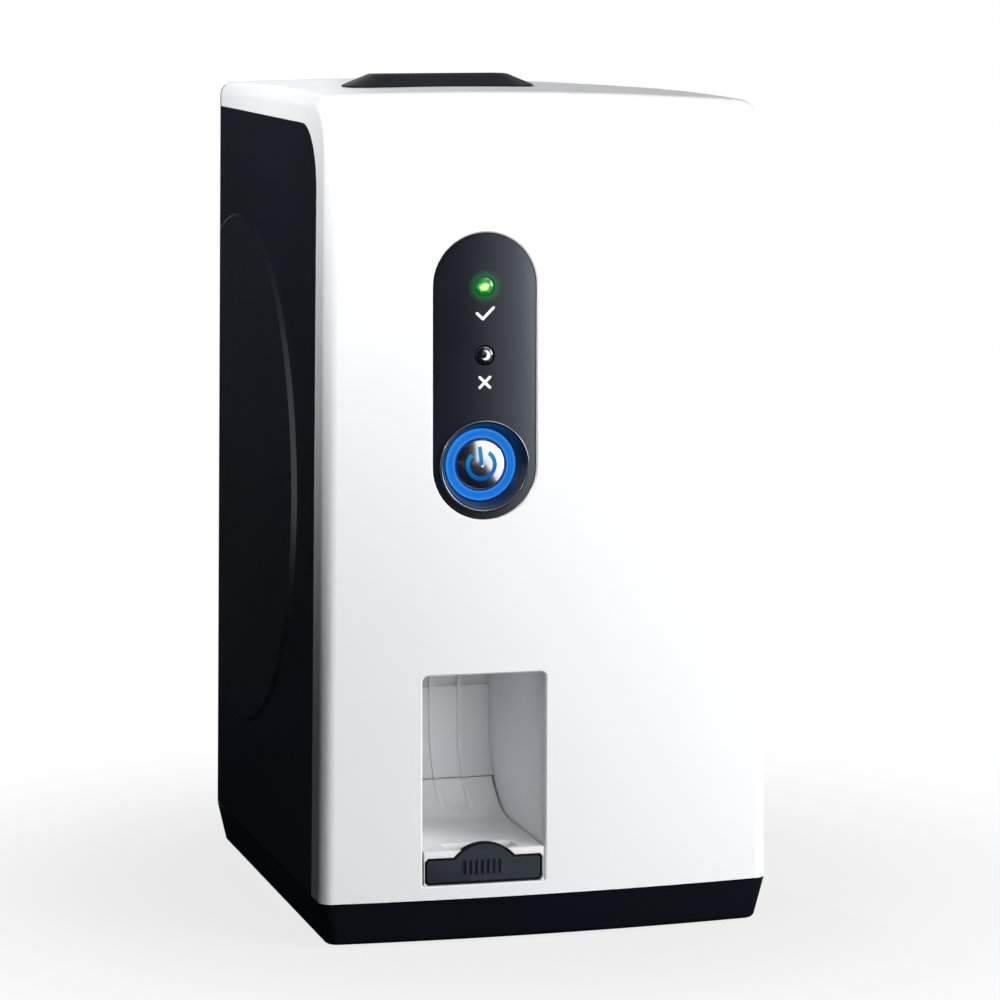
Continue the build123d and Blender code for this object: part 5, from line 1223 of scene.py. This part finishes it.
class SCANNER_OT_electronics(Operator):
    """Finish the boards, the switch, the supply module and the sockets"""

    bl_idname = "scanner.electronics"
    bl_label = "Electronics"

    def execute(self, context):
        board = printed_board("Board green", LACQUER)
        face_z = BOARD_LOW.z + BOARD_FACE
        over = board.spread(board.axis("Z"), 0.0, 1.0, face_z, face_z + 0.05 * MM)
        board.colour(board.mix(over, board.given("Base Color"), (0.016, 0.016, 0.018)))
        dress(board, "main_board")
        dress(printed_board("Front board", LACQUER), "front_board")
        dress(printed_board("Eraser board", LACQUER), "eraser_board")
        dress(drawn_metal("Screen can", (0.62, 0.63, 0.64), 0.32), "supply_module")
        dress(moulded("Switch black", SOFT_BLACK, 0.45), "button_switch")
        dress(drawn_metal("Socket metal", (0.66, 0.67, 0.69), 0.26), "data_socket")
        dress(moulded("Inlet black", NEAR_BLACK, 0.4), "power_inlet")
        return {"FINISHED"}


class SCANNER_OT_stage(Operator):
    """Set the pale floor, the soft lamps, the surroundings and the camera"""

    bl_idname = "scanner.stage"
    bl_label = "Stage"

    def execute(self, context):
        set_floor()
        set_surroundings(context.scene)
        set_cards()
        set_lamps()
        set_camera(context.scene)
        return {"FINISHED"}


# ---------------------------------------------------------------- stage


def flat_face(name, corners, finish):
    """A single flat face in the room."""
    shape = bmesh.new()
    shape.faces.new([shape.verts.new(corner) for corner in corners])
    return mesh_object(name, shape, finish, smooth=False)


def dull(name, first, second, roughness=1.0, size=0.2):
    """A finish without any gloss."""
    finish = Finish(name)
    finish.blotches(size, first, second)
    finish.rough(roughness)
    finish.gloss(0.0)
    return finish


def set_floor():
    """A floor that keeps the shadow at the scanner and goes over into white further out."""
    finish = dull("Floor white", (0.50, 0.50, 0.50), (0.52, 0.52, 0.52), roughness=0.9, size=0.4)
    away = finish.spread(finish.reach(x=0.0, y=0.0), 0.80, 1.0, 0.09, 0.30)
    share = finish.math("MULTIPLY", finish.looked_at(), away)
    glow = finish.add("ShaderNodeEmission", {"Color": WHITE, "Strength": 1.0})
    finish.end_mixed(finish.tree.nodes["Material Output"], share, finish.shader.outputs["BSDF"], glow)
    signs = ((-1, -1), (1, -1), (1, 1), (-1, 1))
    floor = flat_face("floor", [(x * FLOOR_HALF, y * FLOOR_HALF, 0.0) for x, y in signs], finish)
    if floor.data.polygons[0].normal.z < 0:
        floor.data.flip_normals()


def set_surroundings(scene):
    """White surroundings to look at, with little light of their own."""
    world = bpy.data.worlds.new("Studio")
    world.use_nodes = True
    scene.world = world
    world.node_tree.nodes.clear()
    web = Wiring(world.node_tree)
    soft = web.add("ShaderNodeBackground", {"Color": (0.94, 0.97, 1.0, 1), "Strength": 0.06})
    plain = web.add("ShaderNodeBackground", {"Color": WHITE, "Strength": 1.0})
    web.end_mixed(web.tree.nodes.new("ShaderNodeOutputWorld"), web.looked_at(), soft, plain)


def set_cards():
    """Dark cards for the black panels to mirror and mats that damp the floor, unseen by the camera."""
    card_finish = dull("Card black", (0.006, 0.008, 0.012), (0.009, 0.012, 0.018))
    mat_finish = dull("Mat grey", (0.035, 0.050, 0.072), (0.045, 0.060, 0.085))
    for name, corners in CARDS:
        card = flat_face(name, corners, mat_finish if name == "mat_left" else card_finish)
        card.visible_camera = False
        card.visible_diffuse = name.startswith("mat")
        card.visible_transmission = False
        card.visible_shadow = False


def set_lamps():
    """The soft lamps of the studio."""
    for name, place, aim, size, power, spread in LAMPS:
        lamp = bpy.data.lights.new(name, "AREA")
        lamp.shape = "SQUARE"
        lamp.size = size
        lamp.energy = power
        lamp.spread = math.radians(spread)
        holder = placed(name, lamp)
        holder.location = place
        holder.rotation_euler = (Vector(aim) - Vector(place)).to_track_quat("-Z", "Y").to_euler()
        holder.visible_glossy = name != "Front lamp"


def set_camera(scene):
    """The camera at the place of the photograph."""
    yaw, pitch, roll = (math.radians(angle) for angle in CAMERA_ANGLES)
    ahead = Vector((math.sin(yaw) * math.cos(pitch), math.cos(yaw) * math.cos(pitch), -math.sin(pitch)))
    right = Vector((math.cos(yaw), -math.sin(yaw), 0.0))
    up = right.cross(ahead)
    across = right * math.cos(roll) + up * math.sin(roll)
    above = up * math.cos(roll) - right * math.sin(roll)
    camera = bpy.data.cameras.new("Camera")
    camera.sensor_width = 36.0
    camera.lens = CAMERA_LENS
    camera.clip_start = 0.05
    holder = placed("Camera", camera)
    turn = Matrix((across, above, -ahead)).transposed().to_4x4()
    holder.matrix_world = Matrix.Translation(CAMERA_PLACE) @ turn
    scene.camera = holder
    scene.view_settings.view_transform = "Standard"


class SCANNER_PT_build(Panel):
    """The steps that dress the scanner"""

    bl_idname = "SCANNER_PT_build"
    bl_label = "Phosphor plate scanner"
    bl_space_type = "VIEW_3D"
    bl_region_type = "UI"
    bl_category = "Scanner"

    def draw(self, context):
        for step in STEPS:
            self.layout.operator(step.bl_idname)


STEPS = (
    SCANNER_OT_housing,
    SCANNER_OT_control_panel,
    SCANNER_OT_lamps,
    SCANNER_OT_power_button,
    SCANNER_OT_bin,
    SCANNER_OT_handle,
    SCANNER_OT_feed_cap,
    SCANNER_OT_screws,
    SCANNER_OT_transport,
    SCANNER_OT_optics,
    SCANNER_OT_electronics,
    SCANNER_OT_stage,
)
CLASSES = (ScannerSizes, ScannerColours, *STEPS, SCANNER_PT_build)


def register():
    for item in CLASSES:
        bpy.utils.register_class(item)
    bpy.types.Scene.scanner_sizes = PointerProperty(type=ScannerSizes)
    bpy.types.Scene.scanner_colours = PointerProperty(type=ScannerColours)


def unregister():
    del bpy.types.Scene.scanner_colours
    del bpy.types.Scene.scanner_sizes
    for item in reversed(CLASSES):
        bpy.utils.unregister_class(item)


def main():
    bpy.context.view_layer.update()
    register()
    for step in STEPS:
        group, action = step.bl_idname.split(".")
        getattr(getattr(bpy.ops, group), action)()


if __name__ == "__main__":
    main()
